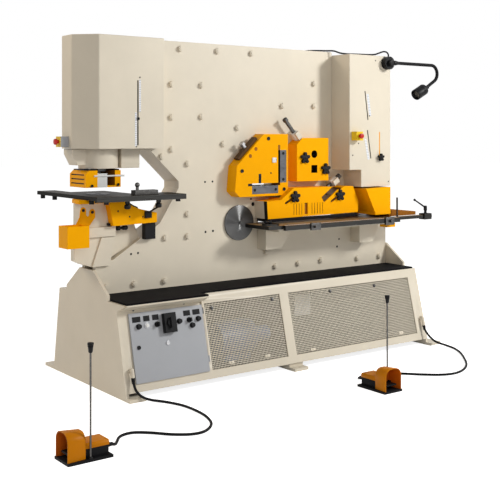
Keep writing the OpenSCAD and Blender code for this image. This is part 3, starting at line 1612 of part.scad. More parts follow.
module left_cable() {
    color(black) tube(left_path, cable_r, cable_sides);
}
module right_cable() {
    color(black) tube(right_path, cable_r, cable_sides);
}

end_plates();
stand_front();
stand_shell();
shelf_mat();
front_grilles();
front_plate();
rear_plate();
frame_spacers();
pivot_pin();
frame_bolts();
table_brackets();
fixed_tooling();
shear_blocks();
notcher_guard();
shear_table();
shear_arm();
moving_blades();
flat_guard();
flat_knob_left();
flat_knob_right();
bar_knob_upper();
bar_knob_lower();
bar_screw();
flat_screw();
angle_screw();
notch_stop();
notch_lever();
punch_cylinder();
punch_ram();
stripper();
lower_arm();
die_support();
punch_table();
table_fence();
slug_box();
left_cover();
right_cover();
left_pointer();
right_pointer();
switch_boxes();
estop_left();
estop_right();
cabinet_door();
main_switch();
selector_left();
selector_right();
push_button();
oil_tank();
pump_motor();
shear_cylinder();
shear_rod();
lamp_base();
lamp_arm();
lamp_head();
pedal_bases();
pedal_hoods();
left_treadle();
right_treadle();
left_cable();
right_cable();
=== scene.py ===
import math

import bmesh
import bpy
from mathutils import Matrix, Vector


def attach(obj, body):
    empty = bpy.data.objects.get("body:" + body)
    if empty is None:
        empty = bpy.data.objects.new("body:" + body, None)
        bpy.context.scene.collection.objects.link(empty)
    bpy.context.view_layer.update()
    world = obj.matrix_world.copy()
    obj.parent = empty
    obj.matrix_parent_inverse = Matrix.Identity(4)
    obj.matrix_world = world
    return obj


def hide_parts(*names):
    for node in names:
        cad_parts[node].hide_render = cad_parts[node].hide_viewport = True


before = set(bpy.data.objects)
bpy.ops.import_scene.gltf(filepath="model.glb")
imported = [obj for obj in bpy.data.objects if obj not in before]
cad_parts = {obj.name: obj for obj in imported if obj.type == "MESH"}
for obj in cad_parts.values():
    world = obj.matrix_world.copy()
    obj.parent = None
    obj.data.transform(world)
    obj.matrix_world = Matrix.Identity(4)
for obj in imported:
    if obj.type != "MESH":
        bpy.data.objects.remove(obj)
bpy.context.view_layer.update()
mm = 0.001
print("frame loaded:", len(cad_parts), "nodes")


def addObject(name, data):
    made = bpy.data.objects.new(name, data)
    bpy.context.scene.collection.objects.link(made)
    return made


# camera at the photograph's stand point
cameraSet = {"place": (-4.130, -5.551, 1.620), "turn": 36.69, "lens": 67.6, "sensor": 36, "shiftY": -0.229}


def makeCamera():
    data = bpy.data.cameras.new("viewCamera")
    data.lens = cameraSet["lens"]
    data.sensor_width = cameraSet["sensor"]
    data.shift_y = cameraSet["shiftY"]
    cam = addObject("viewCamera", data)
    cam.location = cameraSet["place"]
    cam.rotation_euler = (math.radians(90), 0, -math.radians(cameraSet["turn"]))
    bpy.context.scene.camera = cam


makeCamera()
print("camera placed")


# shader helpers

def newMat(name):
    mat = bpy.data.materials.new(name)
    mat.use_nodes = True
    tree = mat.node_tree
    return mat, tree, tree.nodes["Principled BSDF"]


def addNode(tree, kind, **values):
    made = tree.nodes.new(kind)
    for key, value in values.items():
        if key in made.inputs:
            made.inputs[key].default_value = value
        else:
            setattr(made, key, value)
    return made


def objectCoords(tree, scale=(1, 1, 1), move=(0, 0, 0)):
    coords = addNode(tree, "ShaderNodeTexCoord")
    mapping = addNode(tree, "ShaderNodeMapping", Scale=scale, Location=move)
    tree.links.new(coords.outputs["Object"], mapping.inputs["Vector"])
    return mapping.outputs["Vector"]


def noiseFac(tree, place, **values):
    noise = addNode(tree, "ShaderNodeTexNoise", **values)
    tree.links.new(place, noise.inputs["Vector"])
    return noise.outputs["Fac"]


def ramp(tree, source, stops):
    made = addNode(tree, "ShaderNodeValToRGB")
    for element, (place, colour) in zip(made.color_ramp.elements, stops):
        element.position = place
        element.color = (*colour, 1)
    tree.links.new(source, made.inputs["Fac"])
    return made.outputs["Color"]


def spread(tree, source, low, high):
    made = addNode(tree, "ShaderNodeMapRange", **{"To Min": low, "To Max": high})
    tree.links.new(source, made.inputs["Value"])
    return made.outputs["Result"]


def addBump(tree, skin, source, strength, distance):
    bump = addNode(tree, "ShaderNodeBump", Strength=strength, Distance=distance)
    tree.links.new(source, bump.inputs["Height"])
    tree.links.new(bump.outputs["Normal"], skin.inputs["Normal"])


def shade(colour, factor):
    return tuple(min(1, c * factor) for c in colour)


# sprayed enamel: faint clouding, a fine peel and darker wear on edges
enamelSet = {"patch": 2.3, "smear": 7.0, "peelGrain": 420.0, "edgeFrom": 0.53, "edgeTo": 0.66, "wear": 0.12,
             "wornShade": 0.62, "peel": 0.05}


def enamel(name, colour, rough=0.42, cloud=0.06, shine=0.4):
    mat, tree, skin = newMat(name)
    skin.inputs["Specular IOR Level"].default_value = shine
    place = objectCoords(tree)
    patches = noiseFac(tree, place, Scale=enamelSet["patch"], Detail=5.0, Roughness=0.6)
    base = ramp(tree, patches, [(0.3, shade(colour, 1 - cloud)), (0.7, shade(colour, 1 + cloud * 0.5))])
    edge = addNode(tree, "ShaderNodeNewGeometry")
    rub = ramp(tree, edge.outputs["Pointiness"], [(enamelSet["edgeFrom"], (0, 0, 0)),
                                                  (enamelSet["edgeTo"], (enamelSet["wear"],) * 3)])
    mix = addNode(tree, "ShaderNodeMix", data_type="RGBA")
    tree.links.new(rub, mix.inputs[0])
    tree.links.new(base, mix.inputs[6])
    mix.inputs[7].default_value = (*shade(colour, enamelSet["wornShade"]), 1)
    tree.links.new(mix.outputs[2], skin.inputs["Base Color"])
    smear = noiseFac(tree, place, Scale=enamelSet["smear"], Detail=4.0)
    tree.links.new(spread(tree, smear, rough - 0.08, rough + 0.1), skin.inputs["Roughness"])
    grain = noiseFac(tree, place, Scale=enamelSet["peelGrain"], Detail=2.0)
    addBump(tree, skin, grain, enamelSet["peel"], 0.0006)
    return mat


# bare steel with a drawn grain along one axis
def drawnSteel(name, colour=(0.46, 0.46, 0.47), rough=0.3, grain=(4, 300, 300), rim=1.0):
    mat, tree, skin = newMat(name)
    skin.inputs["Metallic"].default_value = 1.0
    skin.inputs["Specular Tint"].default_value = (rim, rim, rim, 1)
    lines = noiseFac(tree, objectCoords(tree, grain), Scale=1.0, Detail=4.0, Roughness=0.65)
    tone = ramp(tree, lines, [(0.3, shade(colour, 0.72)), (0.7, shade(colour, 1.2))])
    tree.links.new(tone, skin.inputs["Base Color"])
    tree.links.new(spread(tree, lines, rough - 0.1, rough + 0.14), skin.inputs["Roughness"])
    addBump(tree, skin, lines, 0.12, 0.0004)
    return mat


# turned steel face with rings about the pivot axis
def turnedSteel(name, centre, colour=(0.14, 0.14, 0.14)):
    mat, tree, skin = newMat(name)
    skin.inputs["Metallic"].default_value = 1.0
    skin.inputs["Roughness"].default_value = 0.37
    skin.inputs["Anisotropic"].default_value = 1.0
    skin.inputs["Anisotropic Rotation"].default_value = 0.25
    flat = addNode(tree, "ShaderNodeVectorMath", operation="MULTIPLY")
    flat.inputs[1].default_value = (1, 0, 1)
    tree.links.new(objectCoords(tree, move=[-c for c in centre]), flat.inputs[0])
    rings = addNode(tree, "ShaderNodeTexWave", wave_type="RINGS", rings_direction="SPHERICAL", Scale=260.0,
                    Distortion=1.2)
    tree.links.new(flat.outputs["Vector"], rings.inputs["Vector"])
    tone = ramp(tree, rings.outputs["Fac"], [(0.0, shade(colour, 0.78)), (1.0, shade(colour, 1.12))])
    tree.links.new(tone, skin.inputs["Base Color"])
    around = addNode(tree, "ShaderNodeTangent", direction_type="RADIAL", axis="Y")
    tree.links.new(around.outputs["Tangent"], skin.inputs["Tangent"])
    addBump(tree, skin, rings.outputs["Fac"], 0.08, 0.0003)
    return mat


# moulded plastic or rubber with a fine matt grain
def moulded(name, colour, rough=0.5, grainScale=900.0, bumpiness=0.15, cloud=0.2, shine=0.28):
    mat, tree, skin = newMat(name)
    skin.inputs["Specular IOR Level"].default_value = shine
    place = objectCoords(tree)
    dust = noiseFac(tree, place, Scale=9.0, Detail=5.0)
    tone = ramp(tree, dust, [(0.35, shade(colour, 1 - cloud)), (0.75, shade(colour, 1 + cloud))])
    tree.links.new(tone, skin.inputs["Base Color"])
    tree.links.new(spread(tree, dust, rough - 0.08, rough + 0.08), skin.inputs["Roughness"])
    addBump(tree, skin, noiseFac(tree, place, Scale=grainScale, Detail=2.0), bumpiness, 0.0004)
    return mat


# white scale strip with plain division lines every few millimetres
def scaleStrip(name, step=0.012, axis=2):
    mat, tree, skin = newMat(name)
    coords = addNode(tree, "ShaderNodeTexCoord")
    split = addNode(tree, "ShaderNodeSeparateXYZ")
    tree.links.new(coords.outputs["Object"], split.inputs["Vector"])
    beat = addNode(tree, "ShaderNodeMath", operation="PINGPONG")
    beat.inputs[1].default_value = step / 2
    tree.links.new(split.outputs[axis], beat.inputs[0])
    line = addNode(tree, "ShaderNodeMath", operation="LESS_THAN")
    line.inputs[1].default_value = step * 0.09
    tree.links.new(beat.outputs[0], line.inputs[0])
    tone = ramp(tree, line.outputs[0], [(0.0, (0.78, 0.79, 0.82)), (1.0, (0.16, 0.17, 0.22))])
    tree.links.new(tone, skin.inputs["Base Color"])
    skin.inputs["Roughness"].default_value = 0.4
    return mat


finish = {
    "cream": enamel("creamEnamel", (0.70, 0.63, 0.51)),
    "yellow": enamel("yellowEnamel", (0.97, 0.42, 0.0), rough=0.36, cloud=0.03, shine=0.05),
    # the brown ochre below is painted shade, for the insides of slots, pits, grooves and the sight opening and for
    # yellow faces turned from the lamps
    "brown": enamel("shadedOchre", (0.30, 0.105, 0.006), rough=0.5, cloud=0.1, shine=0.15),
    # umber: a dark brown enamel for the angle clamp and a bar behind the notcher guard
    "umber": enamel("darkUmber", (0.085, 0.042, 0.014), rough=0.5, cloud=0.15, shine=0.15),
    "grey": enamel("greyEnamel", (0.365, 0.375, 0.40), rough=0.4, cloud=0.05),
    "blue": enamel("blueEnamel", (0.06, 0.16, 0.38), rough=0.35),
    "orange": enamel("orangeEnamel", (0.56, 0.185, 0.0), rough=0.38, cloud=0.08, shine=0.1),
    # a darker orange for the insides of the pedal hoods: painted shade
    "ember": enamel("hoodInsideShade", (0.5, 0.1, 0.002), rough=0.45, cloud=0.1, shine=0.1),
    # the oil tank's grey-green is darkened: painted shade inside the stand
    "tank": enamel("tankShadeEnamel", (0.13, 0.14, 0.11), rough=0.5, cloud=0.1, shine=0.15),
    # near-black for the faces inside the stand: painted shade
    "primer": enamel("standShadeEnamel", (0.075, 0.076, 0.068), rough=0.6, cloud=0.15, shine=0.1),
    "dark": drawnSteel("blackenedSteel", (0.045, 0.044, 0.042), 0.36, (5, 160, 160), 0.4),
    "bed": drawnSteel("scuffedBed", (0.1, 0.09, 0.078), 0.34, (5, 120, 120), 0.3),
    "steel": drawnSteel("drawnSteel"),
    # the bed top's orange-brown is a painted reflection of the yellow guard
    "polished": enamel("guardReflectionBed", (0.25, 0.155, 0.062), rough=0.5, cloud=0.25, shine=0.1),
    "blade": drawnSteel("groundBlade", (0.13, 0.13, 0.14), 0.28, (12, 90, 30), 0.4),
    "darkSteel": drawnSteel("oiledSteel", (0.1, 0.097, 0.094), 0.38, (60, 60, 60), 0.4),
    "pivot": turnedSteel("turnedPivot", (-0.169, 0, 0.995)),
    "black": moulded("blackPlastic", (0.007, 0.007, 0.008), 0.42, shine=0.14),
    "rubber": moulded("blackRubber", (0.006, 0.006, 0.007), 0.62, 500.0, 0.3, shine=0.1),
    "mat": moulded("deckMat", (0.004, 0.0035, 0.0045), 0.7, 260.0, 0.5, 0.3, 0.05),
    "white": moulded("whitePlastic", (0.72, 0.72, 0.70), 0.35, 900.0, 0.05, 0.05),
    "red": moulded("redPlastic", (0.55, 0.02, 0.015), 0.3, 900.0, 0.05, 0.1),
    "boxYellow": moulded("yellowPlastic", (0.86, 0.60, 0.02), 0.4, 900.0, 0.08, 0.08),
    "scaleUp": scaleStrip("uprightScale"),
    "scaleAlong": scaleStrip("tableScale", 0.02, 0),
}
# slot name for each finish, where a piece names no other
slotOf = {"cream": "cream_paint", "yellow": "yellow_paint", "brown": "yellow_paint", "umber": "yellow_paint",
          "boxYellow": "yellow_paint", "grey": "grey_paint", "tank": "grey_paint", "blue": "blue_paint",
          "orange": "orange_paint", "dark": "dark_steel", "darkSteel": "dark_steel", "steel": "steel",
          "blade": "steel", "pivot": "steel", "scaleAlong": "steel", "black": "black_plastic", "rubber": "rubber",
          "mat": "rubber", "white": "white_plastic", "scaleUp": "white_plastic", "red": "red_plastic"}
print("finishes made:", len(finish))


# places in millimetres; local z of a fitting turned to the front, the left end or the right end

def spotAt(x, y, z):
    return Matrix.Translation(Vector((x, y, z)) * mm)


def facingFront(x, y, z, place=Matrix()):
    return place @ (spotAt(x, y, z) @ Matrix.Rotation(math.radians(90), 4, "X"))


def facingLeft(x, y, z):
    return spotAt(x, y, z) @ Matrix.Rotation(math.radians(-90), 4, "Y")


def facingRight(x, y, z):
    return spotAt(x, y, z) @ Matrix.Rotation(math.radians(90), 4, "Y")


# mesh helpers

def boxAt(bm, low, high, place=Matrix()):
    low, high = Vector(low) * mm, Vector(high) * mm
    grow = Matrix.Translation((low + high) / 2) @ Matrix.Diagonal((*(high - low), 1))
    bmesh.ops.create_cube(bm, size=1, matrix=place @ grow)


def rodAt(bm, start, end, radius, endRadius=None, sides=32, place=Matrix()):
    start, end = Vector(start) * mm, Vector(end) * mm
    along = end - start
    spot = Matrix.Translation((start + end) / 2) @ along.to_track_quat("Z", "Y").to_matrix().to_4x4()
    bmesh.ops.create_cone(bm, cap_ends=True, segments=sides, radius1=radius * mm, radius2=(endRadius or radius) * mm,
                          depth=along.length, matrix=place @ spot)


# an outline across axis 0 or 1, pulled out along it
def slabAlong(bm, axis, outline, start, end, place=Matrix()):
    verts = []
    for a, b in outline:
        corner = [a * mm, b * mm]
        corner.insert(axis, start * mm)
        verts.append(bm.verts.new(corner))
    made = bmesh.ops.extrude_face_region(bm, geom=[bm.faces.new(verts)])["geom"]
    top = [v for v in made if isinstance(v, bmesh.types.BMVert)]
    pull = [0, 0, 0]
    pull[axis] = (end - start) * mm
    bmesh.ops.translate(bm, verts=top, vec=pull)
    bmesh.ops.transform(bm, matrix=place, verts=verts + top)
    return verts + top


def latheAt(bm, profile, place, sides=48):
    before = set(bm.verts)
    verts = [bm.verts.new((r * mm, 0, z * mm)) for r, z in profile]
    edges = [bm.edges.new(pair) for pair in zip(verts, verts[1:])]
    bmesh.ops.spin(bm, geom=verts + edges, cent=(0, 0, 0), axis=(0, 0, 1), angle=2 * math.pi, steps=sides,
                   use_merge=True)
    fresh = [v for v in bm.verts if v not in before]
    bmesh.ops.remove_doubles(bm, verts=fresh, dist=1e-6)
    bmesh.ops.transform(bm, matrix=place, verts=[v for v in bm.verts if v not in before])


# cap screw with a hexagon socket, standing on local z = 0
def capScrew(bm, place, radius, height):
    before = set(bm.verts)
    ring = bmesh.ops.create_circle(bm, cap_ends=True, segments=24, radius=radius * mm)["verts"]
    top = bmesh.ops.extrude_face_region(bm, geom=[ring[0].link_faces[0]])["geom"]
    cap = [g for g in top if isinstance(g, bmesh.types.BMFace)]
    bmesh.ops.translate(bm, verts=list({v for f in cap for v in f.verts}), vec=(0, 0, height * mm))
    bmesh.ops.inset_region(bm, faces=cap, thickness=radius * 0.5 * mm, depth=0)
    bmesh.ops.translate(bm, verts=list({v for f in cap for v in f.verts}), vec=(0, 0, -height * 0.6 * mm))
    bmesh.ops.transform(bm, matrix=place, verts=[v for v in bm.verts if v not in before])


def softEdges(bm, width, segments=2, sharp=28):
    limit = math.radians(sharp)
    edges = [e for e in bm.edges if e.is_manifold and e.calc_face_angle(0) > limit]
    if edges and width > 0:
        bmesh.ops.bevel(bm, geom=edges, offset=width * mm, offset_type="OFFSET", affect="EDGES", segments=segments,
                        profile=0.5, material=-1, clamp_overlap=True)


def cutAcross(bm, place, normal, clear=False):
    cut = bmesh.ops.bisect_plane(bm, geom=bm.verts[:] + bm.edges[:] + bm.faces[:], dist=1e-6, clear_outer=clear,
                                 plane_co=place, plane_no=normal)
    return [g for g in cut["geom_cut"] if isinstance(g, bmesh.types.BMEdge)]


def cadCopy(node):
    bm = bmesh.new()
    bm.from_mesh(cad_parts[node].data)
    bmesh.ops.remove_doubles(bm, verts=bm.verts, dist=2e-6)
    bmesh.ops.dissolve_limit(bm, angle_limit=math.radians(0.6), verts=bm.verts, edges=bm.edges)
    return bm


def paintWhere(bm, paint):
    for index, test in paint:
        for f in bm.faces:
            if test(f.calc_center_median() / mm):
                f.material_index = index


def finishPiece(name, bm, body, finishes, node=None, slotName=None, smooth=32, recalc=True, weighted=False):
    keys = [finishes] if isinstance(finishes, str) else finishes
    if recalc:
        bmesh.ops.recalc_face_normals(bm, faces=bm.faces)
    mesh = bpy.data.meshes.new(name)
    bm.to_mesh(mesh)
    bm.free()
    for key in keys:
        mesh.materials.append(finish[key])
    mesh.shade_smooth()
    mesh.set_sharp_from_angle(angle=math.radians(smooth))
    piece = addObject(name, mesh)
    if weighted:
        piece.modifiers.new("weights", "WEIGHTED_NORMAL").keep_sharp = True
    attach(piece, body)
    if node:
        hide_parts(node)
    slotName or slotOf[keys[0]]
    return piece


# a CAD node with its edges eased, its faces painted by where they lie
def easedNode(node, body, finishes, width, paint=(), slotName=None, segments=2, sharp=28, splitY=None):
    bm = cadCopy(node)
    if splitY is not None:
        cutAcross(bm, (0, splitY * mm, 0), (0, 1, 0))
    softEdges(bm, width, segments, sharp)
    paintWhere(bm, paint)
    finishPiece(node + "Body", bm, body, finishes, node, slotName, recalc=False, weighted=True)


def boxPiece(name, body, colour, boxes, ease=0.0):
    bm = bmesh.new()
    for low, high in boxes:
        boxAt(bm, low, high)
    softEdges(bm, ease)
    finishPiece(name, bm, body, colour)


def lathePiece(name, body, colour, turnings, node=None, slotName=None, ease=0.0):
    bm = bmesh.new()
    for profile, place, sides in turnings:
        latheAt(bm, profile, place, sides)
    softEdges(bm, ease)
    finishPiece(name, bm, body, colour, node, slotName)


def smoothRoute(points, steps):
    pts = [Vector(p) * mm for p in points]
    pts = pts[:1] + pts + pts[-1:]
    out = []
    for a, b, c, d in zip(pts, pts[1:], pts[2:], pts[3:]):
        for k in range(steps):
            t = k / steps
            out.append(0.5 * (2 * b + (c - a) * t + (2 * a - 5 * b + 4 * c - d) * t * t
                              + (3 * b - a - 3 * c + d) * t * t * t))
    return out + [pts[-1]]


# round rubber tube along points in metres
def tubeAlong(name, route, radius, roundness, body):
    curve = bpy.data.curves.new(name, "CURVE")
    curve.dimensions = "3D"
    curve.bevel_depth = radius * mm
    curve.bevel_resolution = roundness
    curve.use_fill_caps = True
    spline = curve.splines.new("POLY")
    spline.points.add(len(route) - 1)
    for point, place in zip(spline.points, route):
        point.co = (*place, 1)
    curve.materials.append(finish["rubber"])
    piece = addObject(name, curve)
    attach(piece, body)
    return piece


# cables first, as they lie on the floor
cableSet = {
    "radius": 8, "steps": 6, "boot": 36, "bootFoot": 1.6, "bootTip": 1.15,
    "left": [[-1281, -532.1, 140.3], [-1281, -534.04, 132.54], [-1281, -537.89, 117.02], [-1276, -562, 70],
             [-1250, -588, 34], [-1205, -618, 14], [-1145, -690, 8], [-1105, -800, 8], [-1095, -920, 8],
             [-1110, -1070, 8], [-1165, -1210, 8], [-1260, -1295, 8], [-1350, -1300, 8], [-1440, -1240, 8],
             [-1520, -1145, 8], [-1600, -1085, 8], [-1680, -1100, 8], [-1745, -1180, 12], [-1790, -1245, 26],
             [-1830, -1268.5, 40], [-1846, -1268.5, 40], [-1854, -1268.5, 40]],
    "right": [[1289, -529.2, 151.9], [1289, -531.13, 144.14], [1289, -534.98, 128.61], [1300, -566, 82],
              [1330, -610, 36], [1372, -670, 14], [1360, -770, 8], [1290, -890, 8], [1190, -1010, 8],
              [1060, -1145, 8], [930, -1235, 8], [800, -1275, 8], [690, -1250, 8], [590, -1170, 8], [490, -1065, 8],
              [380, -985, 8], [260, -955, 8], [175, -985, 12], [136, -1040, 26], [125.5, -1080, 40],
              [125.5, -1096, 40], [125.5, -1104, 40]],
}


def makeCable(side):
    points, radius = cableSet[side], cableSet["radius"]
    boots = bmesh.new()
    for tip, inner in ((points[0], points[2]), (points[-1], points[-3])):
        along = (Vector(inner) - Vector(tip)).normalized()
        rodAt(boots, tip, Vector(tip) + along * cableSet["boot"], radius * cableSet["bootFoot"],
              radius * cableSet["bootTip"], 24)
    softEdges(boots, 1)
    sleeve = finishPiece(side + "CableBoots", boots, "base", "rubber")
    route = smoothRoute(points, cableSet["steps"])
    piece = tubeAlong(side + "Cable", route, radius, 5, "base")
    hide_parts(side + "_cable")
    length = sum((b - a).length for a, b in zip(route, route[1:]))
    tuple(route[0])


makeCable("left")
makeCable("right")
print("cables laid")

# the leaning front and back sheets of the stand, each from its foot
panelLean, rearLean = math.atan(132 / 532), math.atan(84 / 532)
panelPlace = Matrix.Translation((0, -0.530, 0.045)) @ Matrix.Rotation(-panelLean, 4, "X")
rearPlace = Matrix.Translation((0, 0.482, 0.045)) @ Matrix.Rotation(rearLean, 4, "X")
panelBack, rearBack = panelPlace.inverted(), rearPlace.inverted()


def onPanel(c):
    return panelBack @ (c * mm) / mm


# stand, deck and grilles
standSet = {"plateEase": 3, "sheetEase": 1.5, "matEase": 4, "pitch": 12, "hole": 5.2, "sheet": 2, "recess": 8,
            "panels": {"Left": (-680, -47), "Right": (30, 1231)}, "low": 52, "high": 484,
            "boltsUp": [(-622, 448), (-113, 454), (424, 457), (867, 454)],
            "bolt": [(0, 0), (13, 0), (13, 3), (9, 3), (8, 9), (0, 10)],
            "doorScrews": [(-1210, 497), (-835, 500)], "screw": [(0, 0), (7, 0), (6, 4), (0, 5)],
            "tabs": [(-522, 82), (-221, 83), (182, 73), (1063, 79)], "pin": [(0, 0), (6, 0), (5, 4), (0, 5)],
            "inside": {"skin": 2.5, "half": 1308.5, "floor": 42, "deck": 576.5}}


def inStand(c):
    room = standSet["inside"]
    rear = (rearBack @ (c * mm)).y
    return (onPanel(c).y > room["skin"] and abs(c.x) < room["half"] and rear < -0.001
            and room["floor"] < c.z < room["deck"])


easedNode("end_plates", "base", "cream", standSet["plateEase"])
easedNode("stand_front", "base", "cream", standSet["sheetEase"], sharp=40)
# faces inside the stand are painted near-black: painted shade inside the stand
easedNode("stand_shell", "base", ["cream", "primer"], standSet["sheetEase"], [(1, inStand)])
easedNode("shelf_mat", "base", "mat", standSet["matEase"], segments=3)


# one cell with a round hole, repeated across and up the panel
def makeGrille(side):
    (x0, x1), low, high = standSet["panels"][side], standSet["low"], standSet["high"]
    across, rise = round((x1 - x0) / standSet["pitch"]), round((high - low) / standSet["pitch"])
    stepX, stepZ = (x1 - x0) / across * mm, (high - low) / rise * mm
    bm = bmesh.new()
    bmesh.ops.create_grid(bm, x_segments=2, y_segments=2, size=0.5)
    bmesh.ops.scale(bm, vec=(stepX, stepZ, 1), verts=bm.verts)
    middle = min(bm.verts, key=lambda v: v.co.length)
    rim = [e for e in bm.edges if middle not in e.verts]
    bmesh.ops.delete(bm, geom=list(middle.link_faces), context="FACES_ONLY")
    bmesh.ops.delete(bm, geom=[middle], context="VERTS")
    ring = bmesh.ops.create_circle(bm, cap_ends=False, segments=8, radius=standSet["hole"] * mm)["verts"]
    bmesh.ops.bridge_loops(bm, edges=rim + list({e for v in ring for e in v.link_edges}))
    corner = Matrix.Translation((x0 * mm + stepX / 2, standSet["recess"] * mm, low * mm + stepZ / 2))
    turn = panelPlace @ corner @ Matrix.Rotation(math.radians(90), 4, "X")
    bmesh.ops.transform(bm, matrix=turn, verts=bm.verts)
    piece = finishPiece("grille" + side, bm, "base", "cream", recalc=False)
    for label, count, step in (("along", across, Vector((stepX, 0, 0))),
                               ("up", rise, panelPlace.to_3x3() @ Vector((0, 0, stepZ)))):
        row = piece.modifiers.new(label, "ARRAY")
        row.count = count
        row.use_relative_offset = False
        row.use_constant_offset = True
        row.constant_offset_displace = step
        row.use_merge_vertices = True
        row.merge_threshold = 0.0002
    wall = piece.modifiers.new("wall", "SOLIDIFY")
    wall.thickness = standSet["sheet"] * mm
    wall.offset = 1
    return piece


grilles = [makeGrille(side) for side in standSet["panels"]]
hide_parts("front_grilles")


def makePanelBolts():
    lathePiece("panelBolts", "base", "darkSteel",
               [(standSet["bolt"], facingFront(x, 6, z, panelPlace), 20) for x, z in standSet["boltsUp"]]
               + [(standSet["screw"], facingFront(x, 0, z, panelPlace), 18) for x, z in standSet["doorScrews"]])
    bm = bmesh.new()
    for x, z in standSet["tabs"]:
        boxAt(bm, (x - 22, 2, z - 12), (x + 22, 6, z + 8), panelPlace)
        latheAt(bm, standSet["pin"], facingFront(x, 2, z, panelPlace), 18)
    softEdges(bm, 1)
    finishPiece("panelTabs", bm, "base", "cream")


makePanelBolts()

# two louvred hatches on the back of the stand
rearSet = {"hatches": [(-1170, -90), (90, 1170)], "low": 60, "high": 455, "sheet": 3, "screwIn": (25, 22),
           "screw": [(0, 0), (11, 0), (11, 2), (8, 2), (7, 7), (0, 8)], "columns": (-260, 0, 260), "rows": 8,
           "rowFrom": 110, "rowStep": 26, "louvre": (75, 66, 13), "stand": 8}


def makeRearHatches():
    low, high, sheet = rearSet["low"], rearSet["high"], rearSet["sheet"]
    inX, inZ = rearSet["screwIn"]
    bm, screws = bmesh.new(), bmesh.new()
    for x0, x1 in rearSet["hatches"]:
        boxAt(bm, (x0, 0, low), (x1, sheet, high), rearPlace)
        for x in (x0 + inX, (x0 + x1) / 2, x1 - inX):
            for z in (low + inZ, high - inZ):
                spot = rearPlace @ spotAt(x, sheet, z) @ Matrix.Rotation(math.radians(-90), 4, "X")
                latheAt(screws, rearSet["screw"], spot, 18)
    softEdges(bm, 1.5)
    finishPiece("rearHatches", bm, "base", "cream", weighted=True)
    finishPiece("rearHatchScrews", screws, "base", "darkSteel")
    bm = bmesh.new()
    foot, head, rise = rearSet["louvre"]
    for x0, x1 in rearSet["hatches"]:
        for column in rearSet["columns"]:
            x = (x0 + x1) / 2 + column
            for row in range(rearSet["rows"]):
                z = low + rearSet["rowFrom"] + row * rearSet["rowStep"]
                lid = [(x - foot, z), (x + foot, z), (x + head, z + rise), (x - head, z + rise)]
                made = slabAlong(bm, 1, lid, sheet - 0.5, sheet + rearSet["stand"])
                top = [v for v in made if v.co.y > (sheet + rearSet["stand"] - 1) * mm and v.co.z > (z + 1) * mm]
                bmesh.ops.translate(bm, verts=top, vec=(0, (1 - rearSet["stand"]) * mm, 0))
                bmesh.ops.transform(bm, matrix=rearPlace, verts=made)
    softEdges(bm, 1.2)
    finishPiece("rearLouvres", bm, "base", "cream", weighted=True)


makeRearHatches()
print("stand dressed")

# frame plates, pivot and bolts; stack has start, end, radius and sides of washer, nut and bolt end
frameSet = {"plateEase": 2, "capEase": 3, "face": 95, "seen": 100, "guardStud": -150,
            "stack": [(0, 3, 24, 28), (3, 18, 21, 6), (16, 22, 12, 20)],
            "holes": [(-457, 1295, 6), (-394, 1296, 6), (-453, 945, 7), (-390, 948, 7), (-1047, 835, 6),
                      (-994, 838, 6), (-56, 1160, 6), (-38, 1122, 13), (801, 813, 6), (780, 756, 7)]}
for node in ("front_plate", "rear_plate", "frame_spacers"):
    easedNode(node, "base", "cream", frameSet["plateEase"])
easedNode("pivot_pin", "base", "pivot", frameSet["capEase"], segments=3, sharp=40)


def islandBoxes(bm):
    left = set(bm.verts)
    while left:
        grown, edge = set(), [left.pop()]
        while edge:
            v = edge.pop()
            grown.add(v)
            near = [e.other_vert(v) for e in v.link_edges if e.other_vert(v) in left]
            left.difference_update(near)
            edge.extend(near)
        spots = [v.co / mm for v in grown]
        yield [min(c[i] for c in spots) for i in range(3)], [max(c[i] for c in spots) for i in range(3)]


# washer, nut and bolt end on each face where a solid bolt stands out
def makeFrameBolts():
    source = cadCopy("frame_bolts")
    spots = sorted(islandBoxes(source))
    source.free()
    bm, studs = bmesh.new(), bmesh.new()
    for low, high in spots:
        x, z = (low[0] + high[0]) / 2, (low[2] + high[2]) / 2
        if low[1] < frameSet["guardStud"]:
            rodAt(studs, (x, high[1], z), (x, low[1], z), (high[0] - low[0]) / 2, sides=24)
            continue
        for out in (-1, 1):
            if (low[1] if out < 0 else -high[1]) < -frameSet["seen"]:
                for start, end, radius, sides in frameSet["stack"]:
                    near, far = (frameSet["face"] + start) * out, (frameSet["face"] + end) * out
                    rodAt(bm, (x, near, z), (x, far, z), radius, sides=sides)
    softEdges(bm, 1.6)
    softEdges(studs, 1)
    finishPiece("frameNuts", bm, "base", "cream", "frame_bolts", weighted=True)
    finishPiece("guardStuds", studs, "base", "steel")


makeFrameBolts()
easedNode("table_brackets", "base", "cream", 3)
easedNode("shear_arm", "rocker", "cream", 2)
lathePiece("plateHoles", "base", "black",
           [([(0, 0.4), (r * 0.7, 0.4), (r, 1.2), (r + 1, 0.6), (r + 1.5, 0)],
             facingFront(x, -frameSet["face"], z), 20) for x, z, r in frameSet["holes"]])
print("frame plates dressed")

# shear blocks, blades and hold-downs
blockSet = {"ease": 5, "bladeEase": 1.2, "front": -200, "skin": -199, "round": (458, 1480), "square": (458, 1370),
            "hole": 29.5, "slots": [((112, 132), (1258, 1515)), ((-125, 132), (1258, 1278))],
            "plugs": [(23, 1598), (-213, 1369), (167, 1229), (83, 1442)], "pits": [(-90, 1524), (-139, 1474)],
            "pit": [(0, 0.3), (9, 0.8), (12, 1.5), (14, 0)], "pin": (46, 1349),
            "bladeScrews": [(160, 1300), (160, 1490), (-100, 1230), (90, 1230)]}


def inBore(c):
    x, z = blockSet["round"]
    return c.y > blockSet["skin"] and math.hypot(c.x - x, c.z - z) < blockSet["hole"]


def inSquare(c):
    x, z = blockSet["square"]
    return c.y > blockSet["skin"] and max(abs(c.x - x), abs(c.z - z)) < blockSet["hole"]


def inSlots(c):
    return c.y > blockSet["skin"] and any(x0 < c.x < x1 and z0 < c.z < z1 for (x0, x1), (z0, z1) in blockSet["slots"])
